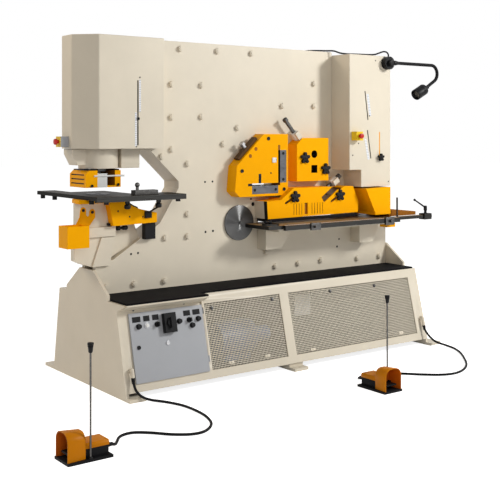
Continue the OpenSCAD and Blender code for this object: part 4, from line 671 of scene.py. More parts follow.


# the walls of the square hole are painted black and the walls of the slots brown: painted shade inside them
easedNode("shear_blocks", "base", ["yellow", "darkSteel", "black", "brown"], blockSet["ease"],
          [(1, inBore), (2, inSquare), (3, inSlots)], segments=3, sharp=40)
easedNode("fixed_tooling", "base", "blade", blockSet["bladeEase"], sharp=40)
easedNode("moving_blades", "rocker", "blade", blockSet["bladeEase"], sharp=40)


def makeBlockFittings():
    y = blockSet["front"]
    bm = bmesh.new()
    for x, z in blockSet["plugs"]:
        capScrew(bm, facingFront(x, y, z), 13, 5)
    for x, z in blockSet["bladeScrews"]:
        capScrew(bm, facingFront(x, y, z), 11, 1.6)
    # thin black sheets at the ends of the slots are painted shade, drawn as more slot
    boxAt(bm, (-66, y - 0.6, 1277), (-42, y, 1345))
    boxAt(bm, (-160, y - 0.6, 1259), (-124, y, 1277))
    latheAt(bm, [(0, 3), (5, 3), (6, 0)], facingFront(blockSet["pin"][0], y, blockSet["pin"][1]), 16)
    softEdges(bm, 0.8)
    finishPiece("blockScrewsAndSlotShade", bm, "base", "black")
    bm = bmesh.new()
    # the pits and the top of the vertical slot are painted brown: painted shade in recesses
    for x, z in blockSet["pits"]:
        latheAt(bm, blockSet["pit"], facingFront(x, y, z), 24)
    boxAt(bm, (112, y - 0.6, 1514), (131, y, 1552))
    finishPiece("blockPits", bm, "base", "brown")
    boxPiece("blockInsert", "base", "white", [((56, y - 6, 1424), (92, y, 1460))], 1.2)


makeBlockFittings()

# guards and hold-down screws, with black strips of painted shade under the flat guard and a brown sheet of painted
# shade in its sight opening
guardSet = {"ease": 1.2, "grooves": ((210, 520), (1040, 1123)), "leftEnd": -15, "blackTo": -212,
            "shadeStrip": [((-16, -246.4, 1000), (848, -243.4, 1024)), ((-15, -243, 1000), (-12, -112, 1026))],
            "pane": [((310, -239.5, 1032), (364, -237.5, 1136))]}


def inGrooves(c):
    (x0, x1), (z0, z1) = guardSet["grooves"]
    return -249.6 < c.y < -246.5 and z0 < c.z < z1 and x0 < c.x < x1


easedNode("bar_screw", "bar_screw", "darkSteel", 1.5, slotName="steel")
easedNode("flat_screw", "flat_screw", "darkSteel", 1.5, slotName="steel")
easedNode("angle_screw", "angle_screw", ["umber", "steel"], 2,
          [(1, lambda c: (c.z - 1518) * 0.728 - (c.x + 137) * 0.6856 > 22.5)], "dark_steel")
# the wing plate right of the notcher guard is painted brown: painted shade of a yellow face
easedNode("notcher_guard", "base", ["yellow", "brown"], guardSet["ease"],
          [(1, lambda c: c.x > 1129 and 960 < c.z < 1050)])
# the grooves are painted brown and the front of the left end black: painted shade; the rest of the left end is cream
# like the plate
easedNode("flat_guard", "flat_guard", ["yellow", "brown", "black", "cream"], guardSet["ease"],
          [(1, inGrooves), (2, lambda c: c.x < guardSet["leftEnd"] and c.y > -249.5),
           (3, lambda c: c.x < guardSet["leftEnd"] and c.y > guardSet["blackTo"])], splitY=guardSet["blackTo"])

# hem and end wall that close the notcher guard down to the bed; the end wall is painted brown, which is painted shade
notchSet = {"Hem": ("yellow", (963, -330, 1008), (1128, -327, 1027.5)),
            "Side": ("yellow", (963, -328, 1008), (967, -100, 1027.5)),
            "Wall": ("brown", (1119, -326, 985), (1124.5, -100, 1029)),
            "Bar": ("umber", (1121, -91, 985), (1136, -66, 1026))}
for name, (colour, low, high) in notchSet.items():
    boxPiece("notch" + name, "base", colour, [(low, high)], 0.8)

# sleeves and clamps of the hold-down screws, drawn along each screw
screwSet = {"bar": (318, 1620, -41), "flat": (690, 1268, 56), "y": -150,
            "sleeve": [(15, -32), (27, -32), (29, -29), (29, 24), (26, 31), (20, 33), (15, 33)],
            "clamp": [[(0, -150), (20, -150), (22, -147), (22, -122), (0, -122)],
                      [(0, -116), (24, -116), (24, -90), (20, -88), (0, -88)]],
            "rings": [[(0, -122.5), (18, -122.5), (18, -115.5), (0, -115.5)],
                      [(0, -154), (16, -154), (17, -149.5), (0, -149.5)]],
            "nut": [(14.5, -58), (22, -58), (24, -55), (24, -37), (22, -34), (14.5, -34)]}


def onScrew(name):
    x, z, turn = screwSet[name]
    return spotAt(x, screwSet["y"], z) @ Matrix.Rotation(math.radians(turn), 4, "Y")


def makeSleeves():
    bar, flat = onScrew("bar"), onScrew("flat")
    lathePiece("screwSleeves", "base", "white", [(screwSet["sleeve"], place, 36) for place in (bar, flat)],
               slotName="cream_paint")
    lathePiece("flatClamp", "flat_screw", "steel", [(profile, flat, 36) for profile in screwSet["clamp"]])
    lathePiece("flatClampRings", "flat_screw", "black", [(profile, flat, 28) for profile in screwSet["rings"]])
    lathePiece("barNut", "base", "black", [(screwSet["nut"], bar, 6)], ease=1.5)


makeSleeves()
# black strips under the flat guard and at its left end are painted shade in the gap; the brown sheet in the sight
# opening is painted shade
boxPiece("guardShadeStrip", "flat_guard", "rubber", guardSet["shadeStrip"], 0.8)
boxPiece("sightOpeningShade", "flat_guard", "brown", guardSet["pane"], 0.6)

# star knobs of black plastic
knobSet = {"radius": 44, "depth": 18, "lobes": 5, "core": 0.55, "lobe": 0.3, "round": 0.07,
           "cap": [(0, 21), (7, 21), (9.5, 19.5), (10, 17)],
           "places": {"flat_knob_left": (227, -250.3, 1172), "flat_knob_right": (667, -250.3, 1168),
                      "bar_knob_upper": (362, -200.3, 1453), "bar_knob_lower": (565, -200.3, 1367)}}


def starKnob(bm, place, radius):
    before = set(bm.verts)
    ring = bmesh.ops.create_circle(bm, cap_ends=True, segments=100, radius=radius * mm)["verts"]
    core, lobe, sector = knobSet["core"], knobSet["lobe"], 2 * math.pi / knobSet["lobes"]
    for v in ring:
        turn = (math.atan2(v.co.y, v.co.x) - math.pi / 2 + sector / 2) % sector - sector / 2
        room = lobe * lobe - ((1 - lobe) * math.sin(turn)) ** 2
        v.co *= max(core, (1 - lobe) * math.cos(turn) + math.sqrt(room)) if room > 0 else core
    top = bmesh.ops.extrude_face_region(bm, geom=[ring[0].link_faces[0]])["geom"]
    lifted = [g for g in top if isinstance(g, bmesh.types.BMVert)]
    bmesh.ops.translate(bm, verts=lifted, vec=(0, 0, knobSet["depth"] * mm))
    rim = [e for e in bm.edges if e.verts[0] in lifted and e.verts[1] in lifted]
    bmesh.ops.bevel(bm, geom=rim, offset=radius * knobSet["round"] * mm, affect="EDGES", segments=3, profile=0.5,
                    material=-1)
    bmesh.ops.transform(bm, matrix=place, verts=[v for v in bm.verts if v not in before])
    latheAt(bm, knobSet["cap"], place, 24)


for node, spot in knobSet["places"].items():
    knobMesh = bmesh.new()
    starKnob(knobMesh, facingFront(*spot), knobSet["radius"])
    finishPiece(node + "Star", knobMesh, node, "black", node)
print("shear group dressed")

# shear table, notcher rail and their stops
tableSet = {"top": 985, "lip": -413, "screwsX": (80, 300, 540, 780, 1020), "screwY": -355,
            "clamps": [((240, -424, 940), (330, -408, 992)), ((985, -426, 935), (1075, -406, 995))],
            "studs": [((265, -424, 966), (265, -452, 966), 9), ((1030, -424, 966), (1030, -448, 966), 11)],
            "gauge": (-60, -330, 999), "gaugeKnob": [(0, 0), (15, 0), (15, 9), (11, 12), (8, 14), (7, 28)],
            "gaugeArm": ((-60, -330, 1010), (-128, -360, 1016), 6, 8)}
# the top face takes the orange-brown painted reflection of the yellow guard
easedNode("shear_table", "base", ["dark", "polished"], 1.5,
          [(1, lambda c: abs(c.z - tableSet["top"]) < 0.4 and c.y > tableSet["lip"])], sharp=40)
easedNode("notch_stop", "notch_stop", "dark", 2)


def makeTableFittings():
    top = tableSet["top"]
    bm = bmesh.new()
    for x in tableSet["screwsX"]:
        capScrew(bm, spotAt(x, tableSet["screwY"], top), 9, 2)
    for low, high in tableSet["clamps"]:
        boxAt(bm, low, high)
    for start, end, radius in tableSet["studs"]:
        rodAt(bm, start, end, radius)
    softEdges(bm, 1.5)
    finishPiece("tableClamps", bm, "base", "darkSteel")
    boxPiece("tableRule", "base", "scaleAlong", [((20, -392, top - 0.2), (1140, -380, top + 0.6))])
    bm = bmesh.new()
    latheAt(bm, tableSet["gaugeKnob"], spotAt(*tableSet["gauge"]), 24)
    rodAt(bm, *tableSet["gaugeArm"])
    softEdges(bm, 1)
    finishPiece("gaugeKnob", bm, "base", "black")


makeTableFittings()

# lever that locks the notcher stop
leverSet = {"hub": (1505, -345, 997), "pin": 45, "reach": 140, "lean": 62, "ball": 10,
            "profile": [(0, 0), (11, 0), (11, 20), (14, 24), (14, 54), (10, 60), (0, 60)]}


def makeNotchLever():
    bm = bmesh.new()
    x, y, z = leverSet["hub"]
    latheAt(bm, leverSet["profile"], spotAt(x, y, z), 28)
    lean, reach, pin = math.radians(leverSet["lean"]), leverSet["reach"], z + leverSet["pin"]
    tip = Vector((x - reach * math.sin(lean), y, pin + reach * math.cos(lean)))
    rodAt(bm, (x, y, pin), tip, 7, 5.5, 20)
    bmesh.ops.create_uvsphere(bm, u_segments=24, v_segments=14, radius=leverSet["ball"] * mm,
                              matrix=Matrix.Translation(tip * mm))
    finishPiece("notchLeverGrip", bm, "notch_lever", "black", "notch_lever")


makeNotchLever()
print("table dressed")

# punch group
punchSet = {"ease": 3, "stripperCuts": (-1304, -1234, -1178), "slant": ((-1466, -60), (-1330, 110)),
            "bracketFront": -111, "bracketFoot": (1075, 26),
            "bracketEdge": [(-1168, 1214), (-1118, 1189), (-1075, 1163), (-1040, 1148)],
            "earBolts": [(-1405, 1142), (-1341, 1128)], "earBolt": [(0, 6), (9, 6), (10, 4), (10, 0)],
            "slantBolts": ((0.2, 0.75), (846, 940)), "slantBolt": [(0, 6), (8, 6), (9, 4), (9, 0)],
            "bracketPins": [(-1185, 1130), (-1100, 1090), (-1000, 1085)], "bracketPin": [(0, 3), (5, 3), (6, 0)],
            "rails": [((-1366, -104, 1394), (-1310, 104, 1402)), ((-1176, -104, 1394), (-1140, 104, 1402))],
            "railScrews": [(-1345, -115, 1296), (-1156, -115, 1300)], "knobs": [(-1180, -285), (-950, -285)],
            "knob": [(0, 1188), (12, 1188), (12, 1180), (20, 1176), (22, 1168), (20, 1154), (12, 1150), (0, 1150)],
            "stay": ((-950, -285, 1156), (-964, -178, 1112), 6, 5, 16),
            "clip": ((-990, -184, 1076), (-940, -169, 1122))}
easedNode("punch_cylinder", "base", ["cream", "steel"], punchSet["ease"], [(1, lambda c: c.z < 1404)], sharp=40)
easedNode("punch_ram", "punch_ram", "darkSteel", 1.5, slotName="steel", sharp=40)


def makeStripper():
    bm = cadCopy("stripper")
    left, middle, right = punchSet["stripperCuts"]
    for x in punchSet["stripperCuts"]:
        cutAcross(bm, (x * mm, 0, 0), (1, 0, 0))
    softEdges(bm, 2, 2, 40)
    # the vent recesses are painted black and the gap between the blocks brown: painted shade
    paintWhere(bm, [(1, lambda c: -1387 < c.x < -1381.5 and abs(c.y) < 93 and c.z < 1370.6),
                    (3, lambda c: left - 0.5 < c.x < right + 0.5 and -114 < c.y < 100 and c.z > 1285),
                    (2, lambda c: left - 0.5 < c.x < middle + 0.5 and c.y < -69.5 and 1297 < c.z < 1376),
                    (2, lambda c: c.y < -115.6)])
    finishPiece("stripperBody", bm, "stripper", ["yellow", "black", "white", "brown"], "stripper", recalc=False,
                weighted=True)


makeStripper()


# the back corner at the left end is cut off at a slant
def cutCorner(node, colour, width, lower=None):
    bm = cadCopy(node)
    (xa, ya), (xb, yb) = punchSet["slant"]
    rim = cutAcross(bm, (xa * mm, ya * mm, 0), (ya - yb, xb - xa, 0), clear=True)
    bmesh.ops.holes_fill(bm, edges=rim)
    if lower:
        foot = [v for v in bm.verts if v.co.y < punchSet["bracketFront"] * mm and v.co.z < lower[0] * mm]
        bmesh.ops.translate(bm, verts=foot, vec=(0, 0, -lower[1] * mm))
    softEdges(bm, width, sharp=40)
    finishPiece(node + "Body", bm, "base", colour, node, recalc=False, weighted=True)


cutCorner("lower_arm", "cream", punchSet["ease"])
cutCorner("die_support", "yellow", 2, punchSet["bracketFoot"])
easedNode("punch_table", "base", ["dark", "black", "bed"], 1.5,
          [(1, lambda c: c.z < 1201), (2, lambda c: c.z > 1235.6)], sharp=40)
easedNode("table_fence", "table_fence", "darkSteel", 1.5, sharp=40)

# open box for the slugs, hung by two ears
slugSet = {"low": (-1575, -240, 917), "high": (-1425, -112, 1055), "wall": 3, "earFrom": -114, "earTo": -110,
           "ears": [(-1470, 1030), (-1432, 1098), (-1426, 1142), (-1420, 1156), (-1405, 1162), (-1390, 1156),
                    (-1384, 1142), (-1384, 1112), (-1373, 1100), (-1362, 1110), (-1362, 1128), (-1356, 1143),
                    (-1341, 1149), (-1326, 1143), (-1320, 1128), (-1320, 1092), (-1385, 1010), (-1426, 1000)]}


def makeSlugBox():
    bm = bmesh.new()
    low, high, wall = slugSet["low"], slugSet["high"], slugSet["wall"]
    boxAt(bm, low, high)
    top = [max(bm.faces, key=lambda f: f.calc_center_median().z)]
    bmesh.ops.inset_region(bm, faces=top, thickness=wall * mm, depth=0)
    bmesh.ops.inset_region(bm, faces=top, thickness=0.05 * mm, depth=0)
    bmesh.ops.translate(bm, verts=top[0].verts[:], vec=(0, 0, (wall - high[2] + low[2]) * mm))
    slabAlong(bm, 1, slugSet["ears"], slugSet["earFrom"], slugSet["earTo"])
    softEdges(bm, 1)
    finishPiece("slugBoxBody", bm, "base", "yellow", "slug_box", weighted=True)


makeSlugBox()

# rib under the bracket, skewed plate on the nose and the handle beside it
noseSet = {"rib": ([(-1180, 1034), (-1004, 1034), (-962, 932), (-1180, 816)], -58, 58),
           "plate": ([(-1279, 961), (-1178, 961), (-1219, 775), (-1345, 775)], -122, -109),
           "handle": (-1172, -124, 1016),
           "profile": [(0, 0), (15, 0), (16, 3), (16, 22), (9, 26), (9, 44), (15, 48), (15, 74), (11, 80), (0, 80)]}


def makeNose():
    bm = bmesh.new()
    for part in ("rib", "plate"):
        slabAlong(bm, 1, *noseSet[part])
    softEdges(bm, 3)
    finishPiece("noseRib", bm, "base", "cream", weighted=True)
    lathePiece("noseHandle", "base", "black", [(noseSet["profile"], facingRight(*noseSet["handle"]), 28)])


makeNose()


def makePunchFittings():
    bm = bmesh.new()
    for x, z in punchSet["earBolts"]:
        latheAt(bm, punchSet["earBolt"], facingFront(x, slugSet["earFrom"], z), 20)
    (xa, ya), (xb, yb) = punchSet["slant"]
    turn = Matrix.Rotation(math.atan2(xa - xb, yb - ya), 4, "Z")
    parts, heights = punchSet["slantBolts"]
    for part in parts:
        spot = spotAt(xa + (xb - xa) * part, ya + (yb - ya) * part, 0) @ turn
        for z in heights:
            latheAt(bm, punchSet["slantBolt"], spot @ facingLeft(0, 0, z), 20)
    boxAt(bm, (-1236, -136, 1036), (-1200, -110, 1052))
    for x, z in punchSet["bracketPins"]:
        latheAt(bm, punchSet["bracketPin"], facingFront(x, -170, z), 16)
    finishPiece("punchBolts", bm, "base", "black")
    bm = bmesh.new()
    for low, high in punchSet["rails"]:
        boxAt(bm, low, high)
    for spot in punchSet["railScrews"]:
        capScrew(bm, facingFront(*spot), 9, 8)
    softEdges(bm, 1)
    finishPiece("stripperRails", bm, "stripper", "black")
    bm = bmesh.new()
    for x, y in punchSet["knobs"]:
        latheAt(bm, punchSet["knob"], spotAt(x, y, 0), 28)
    rodAt(bm, *punchSet["stay"])
    boxAt(bm, *punchSet["clip"])
    edge = punchSet["bracketEdge"]
    for (xa, za), (xb, zb) in zip(edge, edge[1:]):
        slabAlong(bm, 1, [(xa, za - 6), (xb, zb - 6), (xb, zb + 3), (xa, za + 3)], -174, -110)
    softEdges(bm, 1)
    finishPiece("tableKnobs", bm, "base", "black")


makePunchFittings()
print("punch group dressed")

# folded covers with rounded outer corners, scales and slides
coverSet = {"fold": 6, "left_cover": (-1160, 0, 1900), "right_cover": (945, -30, 1800),
            "leftScales": [((-1047, -200.8, 1775), (-1033, -199.5, 1985)),
                           ((-1077, -200.8, 1551), (-1063, -199.5, 1770))],
            "rightScales": [((903, 1940), (931, 1770), 24), ((880, 1600), (915, 1435), 22)],
            "slide": [((1028, -293, 1420), (1058, -291.4, 1655))],
            "rightSlots": [((888, 1970), (920, 1731)), ((914, 1670), (951, 1434))], "slotHalf": 14,
            "channel": [((-1085, -182, 1545), (-1025, -180, 1990)), ((-1087, -197, 1545), (-1085, -180, 1990)),
                        ((-1025, -197, 1545), (-1023, -180, 1990))],
            "rightScrews": [(820, 1560), (760, 1470), (935, 1772), (1000, 2200), (1140, 1260)],
            "leftScrews": [(-1040, 2000), (-1066, 1548)], "screw": [(0, 3), (4, 3), (5.5, 0)],
            "pointerStar": (1043, -305.4, 1450), "pointerRadius": 30}


def makeCover(node):
    bm = cadCopy(node)
    inner = Vector(coverSet[node]) * mm
    limit = math.radians(25)

    def turnedOut(f):
        return (f.calc_center_median() - inner).dot(f.normal) > 0

    folds = [e for e in bm.edges if e.is_manifold and e.calc_face_angle(0) > limit and e.is_convex
             and e.calc_length() > 0.12 and all(turnedOut(f) and f.calc_area() > 0.02 for f in e.link_faces)]
    bmesh.ops.bevel(bm, geom=folds, offset=coverSet["fold"] * mm, offset_type="OFFSET", affect="EDGES", segments=4,
                    profile=0.5, material=-1, clamp_overlap=True)
    finishPiece(node + "Shell", bm, "base", "cream", node, smooth=40, recalc=False, weighted=True)


makeCover("left_cover")
makeCover("right_cover")


def makeScales():
    bm = bmesh.new()
    for low, high in coverSet["leftScales"]:
        boxAt(bm, low, high)
    for (xa, za), (xb, zb), wide in coverSet["rightScales"]:
        slabAlong(bm, 1, [(xa, za), (xa + wide, za), (xb + wide, zb), (xb, zb)], -295.8, -294.5)
    finishPiece("coverScales", bm, "base", "scaleUp")
    boxPiece("slotBacking", "base", "yellow", coverSet["slide"])
    bm = bmesh.new()
    # black strips behind the right cover's slots and a black channel behind the left cover's slot are painted shade
    # inside the slots
    half = coverSet["slotHalf"]
    for (xa, za), (xb, zb) in coverSet["rightSlots"]:
        slabAlong(bm, 1, [(xa - half, za), (xa + half, za), (xb + half, zb), (xb - half, zb)], -291.9, -290.5)
    for low, high in coverSet["channel"]:
        boxAt(bm, low, high)
    finishPiece("slotShade", bm, "base", "rubber", slotName="black_plastic")
    lathePiece("coverScrews", "base", "darkSteel",
               [(coverSet["screw"], facingFront(x, -295, z), 16) for x, z in coverSet["rightScrews"]]
               + [(coverSet["screw"], facingFront(x, -200, z), 16) for x, z in coverSet["leftScrews"]])


makeScales()
easedNode("left_pointer", "left_pointer", "black", 1, sharp=40)


def makeRightPointer():
    bm = cadCopy("right_pointer")
    knobFaces = [f for f in bm.faces if f.calc_center_median().y < -0.3055]
    bmesh.ops.delete(bm, geom=knobFaces, context="FACES")
    starKnob(bm, facingFront(*coverSet["pointerStar"]), coverSet["pointerRadius"])
    finishPiece("rightPointerStar", bm, "right_pointer", "black", "right_pointer")


makeRightPointer()
easedNode("switch_boxes", "base", ["boxYellow", "grey", "black"], 4,
          [(1, lambda c: -1497 < c.x < -1400), (1, lambda c: c.x > 700 and c.y > -306),
           (2, lambda c: -1000 < c.x < -800)], segments=3)

# mushroom heads of the two emergency stops
stopHead = [(0, -11), (11, -11), (11, 10), (17, 11), (20, 13), (20, 20), (18, 26), (12, 28.5), (0, 29)]
for node, place in (("estop_left", facingLeft(-1525, 0, 1580)), ("estop_right", facingFront(780, -353, 1616))):
    lathePiece(node + "Head", node, "red", [(stopHead, place, 36)], node)
print("covers dressed")

# control cabinet door and its switches; heights are along the leaning sheet
doorSet = {"ease": 2, "face": -12.4, "plateFace": -14.5, "plates": 418, "switch": ((-1023, -933), (327, 455)),
           "knobs": (335, 418), "locks": (245, 290), "lockSplit": -1100, "paleKnob": (-1155, -1112)}


def onDoor(c, heights, across=(-1e4, 1e4)):
    p = onPanel(c)
    return p.y < doorSet["face"] and across[0] < p.x < across[1] and heights[0] < p.z < heights[1]


def onPlates(c):
    return onDoor(c, (doorSet["plates"], 1e4)) and onPanel(c).y > doorSet["plateFace"]


def onSwitch(c):
    across, heights = doorSet["switch"]
    return onDoor(c, heights, across)


def onKnobs(c):
    return onDoor(c, doorSet["knobs"])


def onLocks(c):
    return onDoor(c, doorSet["locks"])


easedNode("cabinet_door", "cabinet_door", ["grey", "black", "darkSteel", "steel"], doorSet["ease"],
          [(1, onPlates), (1, onKnobs), (1, onSwitch), (1, lambda c: onLocks(c) and c.x < doorSet["lockSplit"]),
           (3, lambda c: onLocks(c) and c.x > doorSet["lockSplit"]),
           (3, lambda c: onKnobs(c) and doorSet["paleKnob"][0] < c.x < doorSet["paleKnob"][1])], sharp=40)
for node, colour, width in (("main_switch", "black", 2), ("selector_left", "black", 1.5),
                            ("selector_right", "black", 1.5), ("push_button", "white", 1.5)):
    easedNode(node, node, colour, width, sharp=40)
print("cabinet dressed")

# hydraulics behind the grilles
motorSet = {"middle": (-270, -150, 190), "fins": 24, "fin": ((118, -2, -80), (128, 2, 120)),
            "ring": [(120, -110), (126, -108), (126, -92), (120, -90)],
            "tankPlate": [((225, -253, 300), (375, -250, 450))]}
# the oil tank is painted a darkened grey-green: painted shade inside the stand
easedNode("oil_tank", "base", ["tank", "black"], 8, [(1, lambda c: c.z > 502 or c.x < 149)], sharp=40)
easedNode("pump_motor", "base", "blue", 6, sharp=40)
easedNode("shear_cylinder", "base", "grey", 3, sharp=40)
easedNode("shear_rod", "shear_rod", "steel", 2, sharp=40)
boxPiece("tankPlate", "base", "white", motorSet["tankPlate"], 1)


def makeMotorFins():
    bm = bmesh.new()
    place = facingRight(*motorSet["middle"])
    latheAt(bm, motorSet["ring"], place)
    for k in range(motorSet["fins"]):
        turn = place @ Matrix.Rotation(k * math.pi / (motorSet["fins"] / 2), 4, "Z")
        boxAt(bm, *motorSet["fin"], turn)
    finishPiece("motorFins", bm, "base", "blue")


makeMotorFins()

# work lamp
lampSet = {"hub": (1112, -355, 2185), "neck": 13, "bend": 67, "straight": 1565, "turn": 149, "tail": 96,
           "eye": (1506.93, -355, 2004.95), "tilt": 27, "shellFrom": 0.0239,
           "hubFace": -341.4, "hubCap": [(0, 0), (26, 0), (26, 24), (22, 28), (0, 28)],
           "collar": [(0, 20), (19, 20), (19, 46), (16, 48), (16, 62), (13, 66), (13, 84), (0, 84)],
           "drum": [(0, 23), (17, 23), (34, 25), (41, 29), (44, 36), (44, 60), (42, 61), (42, 63), (44, 64), (44, 72),
                    (42, 73), (42, 75), (44, 76), (44, 138), (42.5, 141), (40, 142), (38, 138), (28, 108), (12, 92),
                    (0, 90)],
           "lens": [(0, 128), (20, 127), (33, 122)], "leadRadius": 6, "leadLift": (0, 0, 0.002), "leadSteps": 4,
           "lead": [(1112, -322, 2225), (1111, -322, 2250), (1102, -312, 2268), (1084, -294, 2272), (1060, -274, 2262),
                    (1025, -260, 2250), (970, -250, 2246), (880, -230, 2246), (790, -195, 2247), (745, -165, 2254),
                    (715, -130, 2270), (670, -85, 2272), (600, -48, 2272), (550, -28, 2270), (520, -18, 2265),
                    (510, -14, 2253)]}
easedNode("lamp_base", "base", "black", 2, sharp=50)
leadRoute = [point + Vector(lampSet["leadLift"]) for point in smoothRoute(lampSet["lead"], lampSet["leadSteps"])]
tubeAlong("lampLead", leadRoute, lampSet["leadRadius"], 4, "base")


def lampRoute():
    x, y, z = lampSet["hub"]
    straight, bend = lampSet["straight"], lampSet["bend"]
    points = [Vector((x + 10 + (straight - x - 10) * k / 8, y, z)) for k in range(9)]
    for k in range(1, 17):
        a = math.radians(90 - lampSet["turn"] * k / 16)
        points.append(Vector((straight + bend * math.cos(a), y, z - bend + bend * math.sin(a))))
    drop = math.radians(180 - lampSet["turn"])
    points.append(points[-1] + lampSet["tail"] * Vector((-math.cos(drop), 0, -math.sin(drop))))
    return points


def makeLampArm():
    tubeAlong("lampNeck", [point * mm for point in lampRoute()], lampSet["neck"], 5, "lamp_arm")
    bm = bmesh.new()
    x, y, z = lampSet["hub"]
    latheAt(bm, lampSet["hubCap"], facingFront(x, lampSet["hubFace"], z), 40)
    latheAt(bm, lampSet["collar"], facingRight(x, y, z), 32)
    x, y, z = lampSet["eye"]
    for half, radius in ((10, 12), (16, 5)):
        rodAt(bm, (x, y - half, z), (x, y + half, z), radius)
    softEdges(bm, 0.8)
    finishPiece("lampHub", bm, "lamp_arm", "black", "lamp_arm")


def makeLampHead():
    bm = cadCopy("lamp_head")
    place = spotAt(*lampSet["eye"]) @ Matrix.Rotation(math.radians(-90 - lampSet["tilt"]), 4, "Y")
    back = place.inverted()
    shell = [f for f in bm.faces if (back @ f.calc_center_median()).z > lampSet["shellFrom"]]
    bmesh.ops.delete(bm, geom=shell, context="FACES")
    softEdges(bm, 0.8)
    finishPiece("lampFork", bm, "lamp_head", "black", "lamp_head", recalc=False)
    lathePiece("lampShade", "lamp_head", "black", [(lampSet["drum"], place, 48)])
    lathePiece("lampLens", "lamp_head", "darkSteel", [(lampSet["lens"], place, 40)], slotName="white_plastic")


makeLampArm()
makeLampHead()
print("lamp dressed")

# foot pedals
pedalSet = {"left": Matrix.Translation((-2.104, -1.346, 0)),
            "right": Matrix.Translation((0.203, -1.354, 0)) @ Matrix.Rotation(math.radians(90), 4, "Z"),
            "inset": 18, "width": 155, "height": 145, "round": 46, "wall": 4, "flare": 1.16, "foot": 14, "mouth": 2,
            "back": 105, "rod": (126, 9, 0), "rodLow": 60, "rodHigh": 541,
            "lid": ([(18, 62), (18, 78), (26, 88), (129, 88), (137, 78), (137, 62)], 105.2, 236),
            "box": ([(20, 14), (20, 62), (135, 62), (135, 14)], 105.2, 234),
            "gland": ((234, 77.5, 40), (250, 77.5, 40), 14, 11, 28),
            "grip": [(0, 541), (9, 541), (11, 545), (14, 575), (16.5, 584), (15, 591), (0, 593)],
            "socket": [(5, 14), (11, 14), (11, 20), (8, 24), (5, 26)]}
easedNode("pedal_bases", "base", ["rubber", "darkSteel"], 2,
          [(1, lambda c: pedalSet["rodLow"] < c.z < pedalSet["rodHigh"])], "black_plastic", sharp=40)
for node in ("left_treadle", "right_treadle"):
    easedNode(node, node, "rubber", 1.5, slotName="black_plastic")


def archOutline(inset):
    foot = pedalSet["foot"]
    y0, y1 = pedalSet["inset"] + inset, pedalSet["width"] - pedalSet["inset"] - inset
    top, r = pedalSet["height"] - inset, pedalSet["round"] - inset
    turns = [k * math.pi / 16 for k in range(9)]
    points = [(y0, foot)] + [(y0 + r - r * math.cos(a), top - r + r * math.sin(a)) for a in turns]
    return points + [(y1 - r + r * math.sin(a), top - r + r * math.cos(a)) for a in turns] + [(y1, foot)]


# the mouth of a hood opens out
def flared(line):
    middle, grow, foot = pedalSet["width"] / 2, pedalSet["flare"], pedalSet["foot"]
    return [(middle + (y - middle) * grow, foot + (z - foot) * (1 + (grow - 1) * 0.4)) for y, z in line]


def makePedalHoods():
    bm, black = bmesh.new(), bmesh.new()
    mouth, back, wall = pedalSet["mouth"], pedalSet["back"], pedalSet["wall"]
    outer, inner = archOutline(0), archOutline(wall)
    for side in ("left", "right"):
        place = pedalSet[side]
        verts = [[bm.verts.new(place @ (Vector((x, y, z)) * mm)) for y, z in line]
                 for x, line in ((mouth, flared(outer)), (back, outer), (back - wall, inner), (mouth, flared(inner)))]
        # inner walls and the inner back face are painted a darker orange: painted shade inside the hood
        for a, b in ((0, 1), (2, 3), (3, 0)):
            for k in range(len(outer) - 1):
                wallFace = bm.faces.new((verts[a][k], verts[a][k + 1], verts[b][k + 1], verts[b][k]))
                wallFace.material_index = 1 if a == 2 else 0
        bm.faces.new(verts[1])
        bm.faces.new(list(reversed(verts[2]))).material_index = 1
        slabAlong(bm, 0, *pedalSet["lid"], place)
        slabAlong(black, 0, *pedalSet["box"], place)
        rodAt(black, *pedalSet["gland"], place)
    softEdges(bm, 1.4, sharp=50)
    softEdges(black, 2.5)
    finishPiece("pedalHoods", bm, "base", ["orange", "ember"], "pedal_hoods")
    finishPiece("pedalBoxes", black, "base", "rubber", slotName="black_plastic")


makePedalHoods()
rodPlaces = [pedalSet[side] @ spotAt(*pedalSet["rod"]) for side in ("left", "right")]
lathePiece("carryGrips", "base", "black", [(pedalSet[shape], place, sides) for place in rodPlaces
                                           for shape, sides in (("grip", 28), ("socket", 24))])
print("pedals dressed")

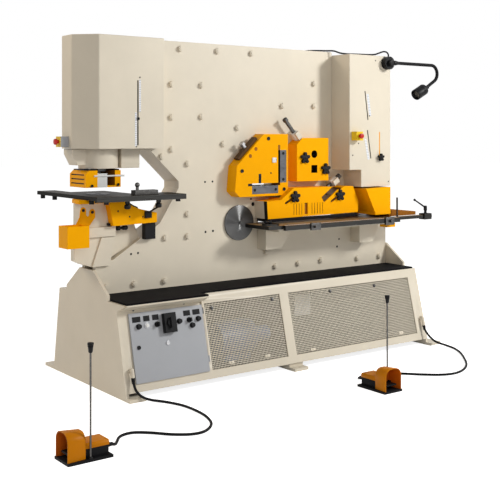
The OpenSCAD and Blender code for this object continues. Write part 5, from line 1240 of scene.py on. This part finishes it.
# floor, backdrop and light
lightSet = {"world": 0.28, "lift": 0.82, "floor": (0.86, 0.86, 0.86, 1),
            "keyLight": {"place": (4.0, -5.0, 4.3), "target": (0.3, 0, 1.3), "size": 1.3, "power": 340,
                         "colour": (1.0, 1.0, 0.98)},
            "frontLight": {"place": (-3.5, -6.5, 3.5), "target": (-0.3, 0, 1.2), "size": 2.5, "power": 72,
                           "colour": (1.0, 0.98, 0.95)},
            "sideLight": {"place": (-4.6, 2.2, 4.6), "target": (-1.0, 0, 1.2), "size": 2.0, "power": 100,
                          "colour": (1.0, 0.87, 0.7)}}


# camera, glossy and transmission rays see the pale room
def seenRays(tree):
    paths = addNode(tree, "ShaderNodeLightPath")
    seen = paths.outputs["Is Camera Ray"]
    for ray in ("Is Glossy Ray", "Is Transmission Ray"):
        either = addNode(tree, "ShaderNodeMath", operation="MAXIMUM")
        tree.links.new(seen, either.inputs[0])
        tree.links.new(paths.outputs[ray], either.inputs[1])
        seen = either.outputs[0]
    return seen


def makeStage():
    bm = bmesh.new()
    bmesh.ops.create_grid(bm, x_segments=1, y_segments=1, size=40)
    mesh = bpy.data.meshes.new("paleFloor")
    bm.to_mesh(mesh)
    bm.free()
    mat, tree, skin = newMat("paleFloorPaint")
    skin.inputs["Base Color"].default_value = lightSet["floor"]
    skin.inputs["Roughness"].default_value = 0.9
    skin.inputs["Specular IOR Level"].default_value = 0.0
    skin.inputs["Emission Color"].default_value = (1, 1, 1, 1)
    tree.links.new(spread(tree, seenRays(tree), 0.0, lightSet["lift"]), skin.inputs["Emission Strength"])
    mesh.materials.append(mat)
    floor = addObject("paleFloor", mesh)
    floor.location.z = -0.0005


def makeWorld():
    world = bpy.data.worlds.new("paleRoom")
    bpy.context.scene.world = world
    world.use_nodes = True
    tree = world.node_tree
    back = tree.nodes["Background"]
    back.inputs["Color"].default_value = (1, 1, 1, 1)
    tree.links.new(spread(tree, seenRays(tree), lightSet["world"], 1.0), back.inputs["Strength"])


def areaLight(name, place, target, size, power, colour):
    data = bpy.data.lights.new(name, "AREA")
    data.shape = "DISK"
    data.size = size
    data.energy = power
    data.color = colour
    lamp = addObject(name, data)
    lamp.location = place
    lamp.rotation_euler = (Vector(target) - Vector(place)).to_track_quat("-Z", "Y").to_euler()


makeStage()
makeWorld()
for name in ("keyLight", "frontLight", "sideLight"):
    areaLight(name, **lightSet[name])
bpy.context.scene.view_settings.view_transform = "Standard"
print("stage lit")
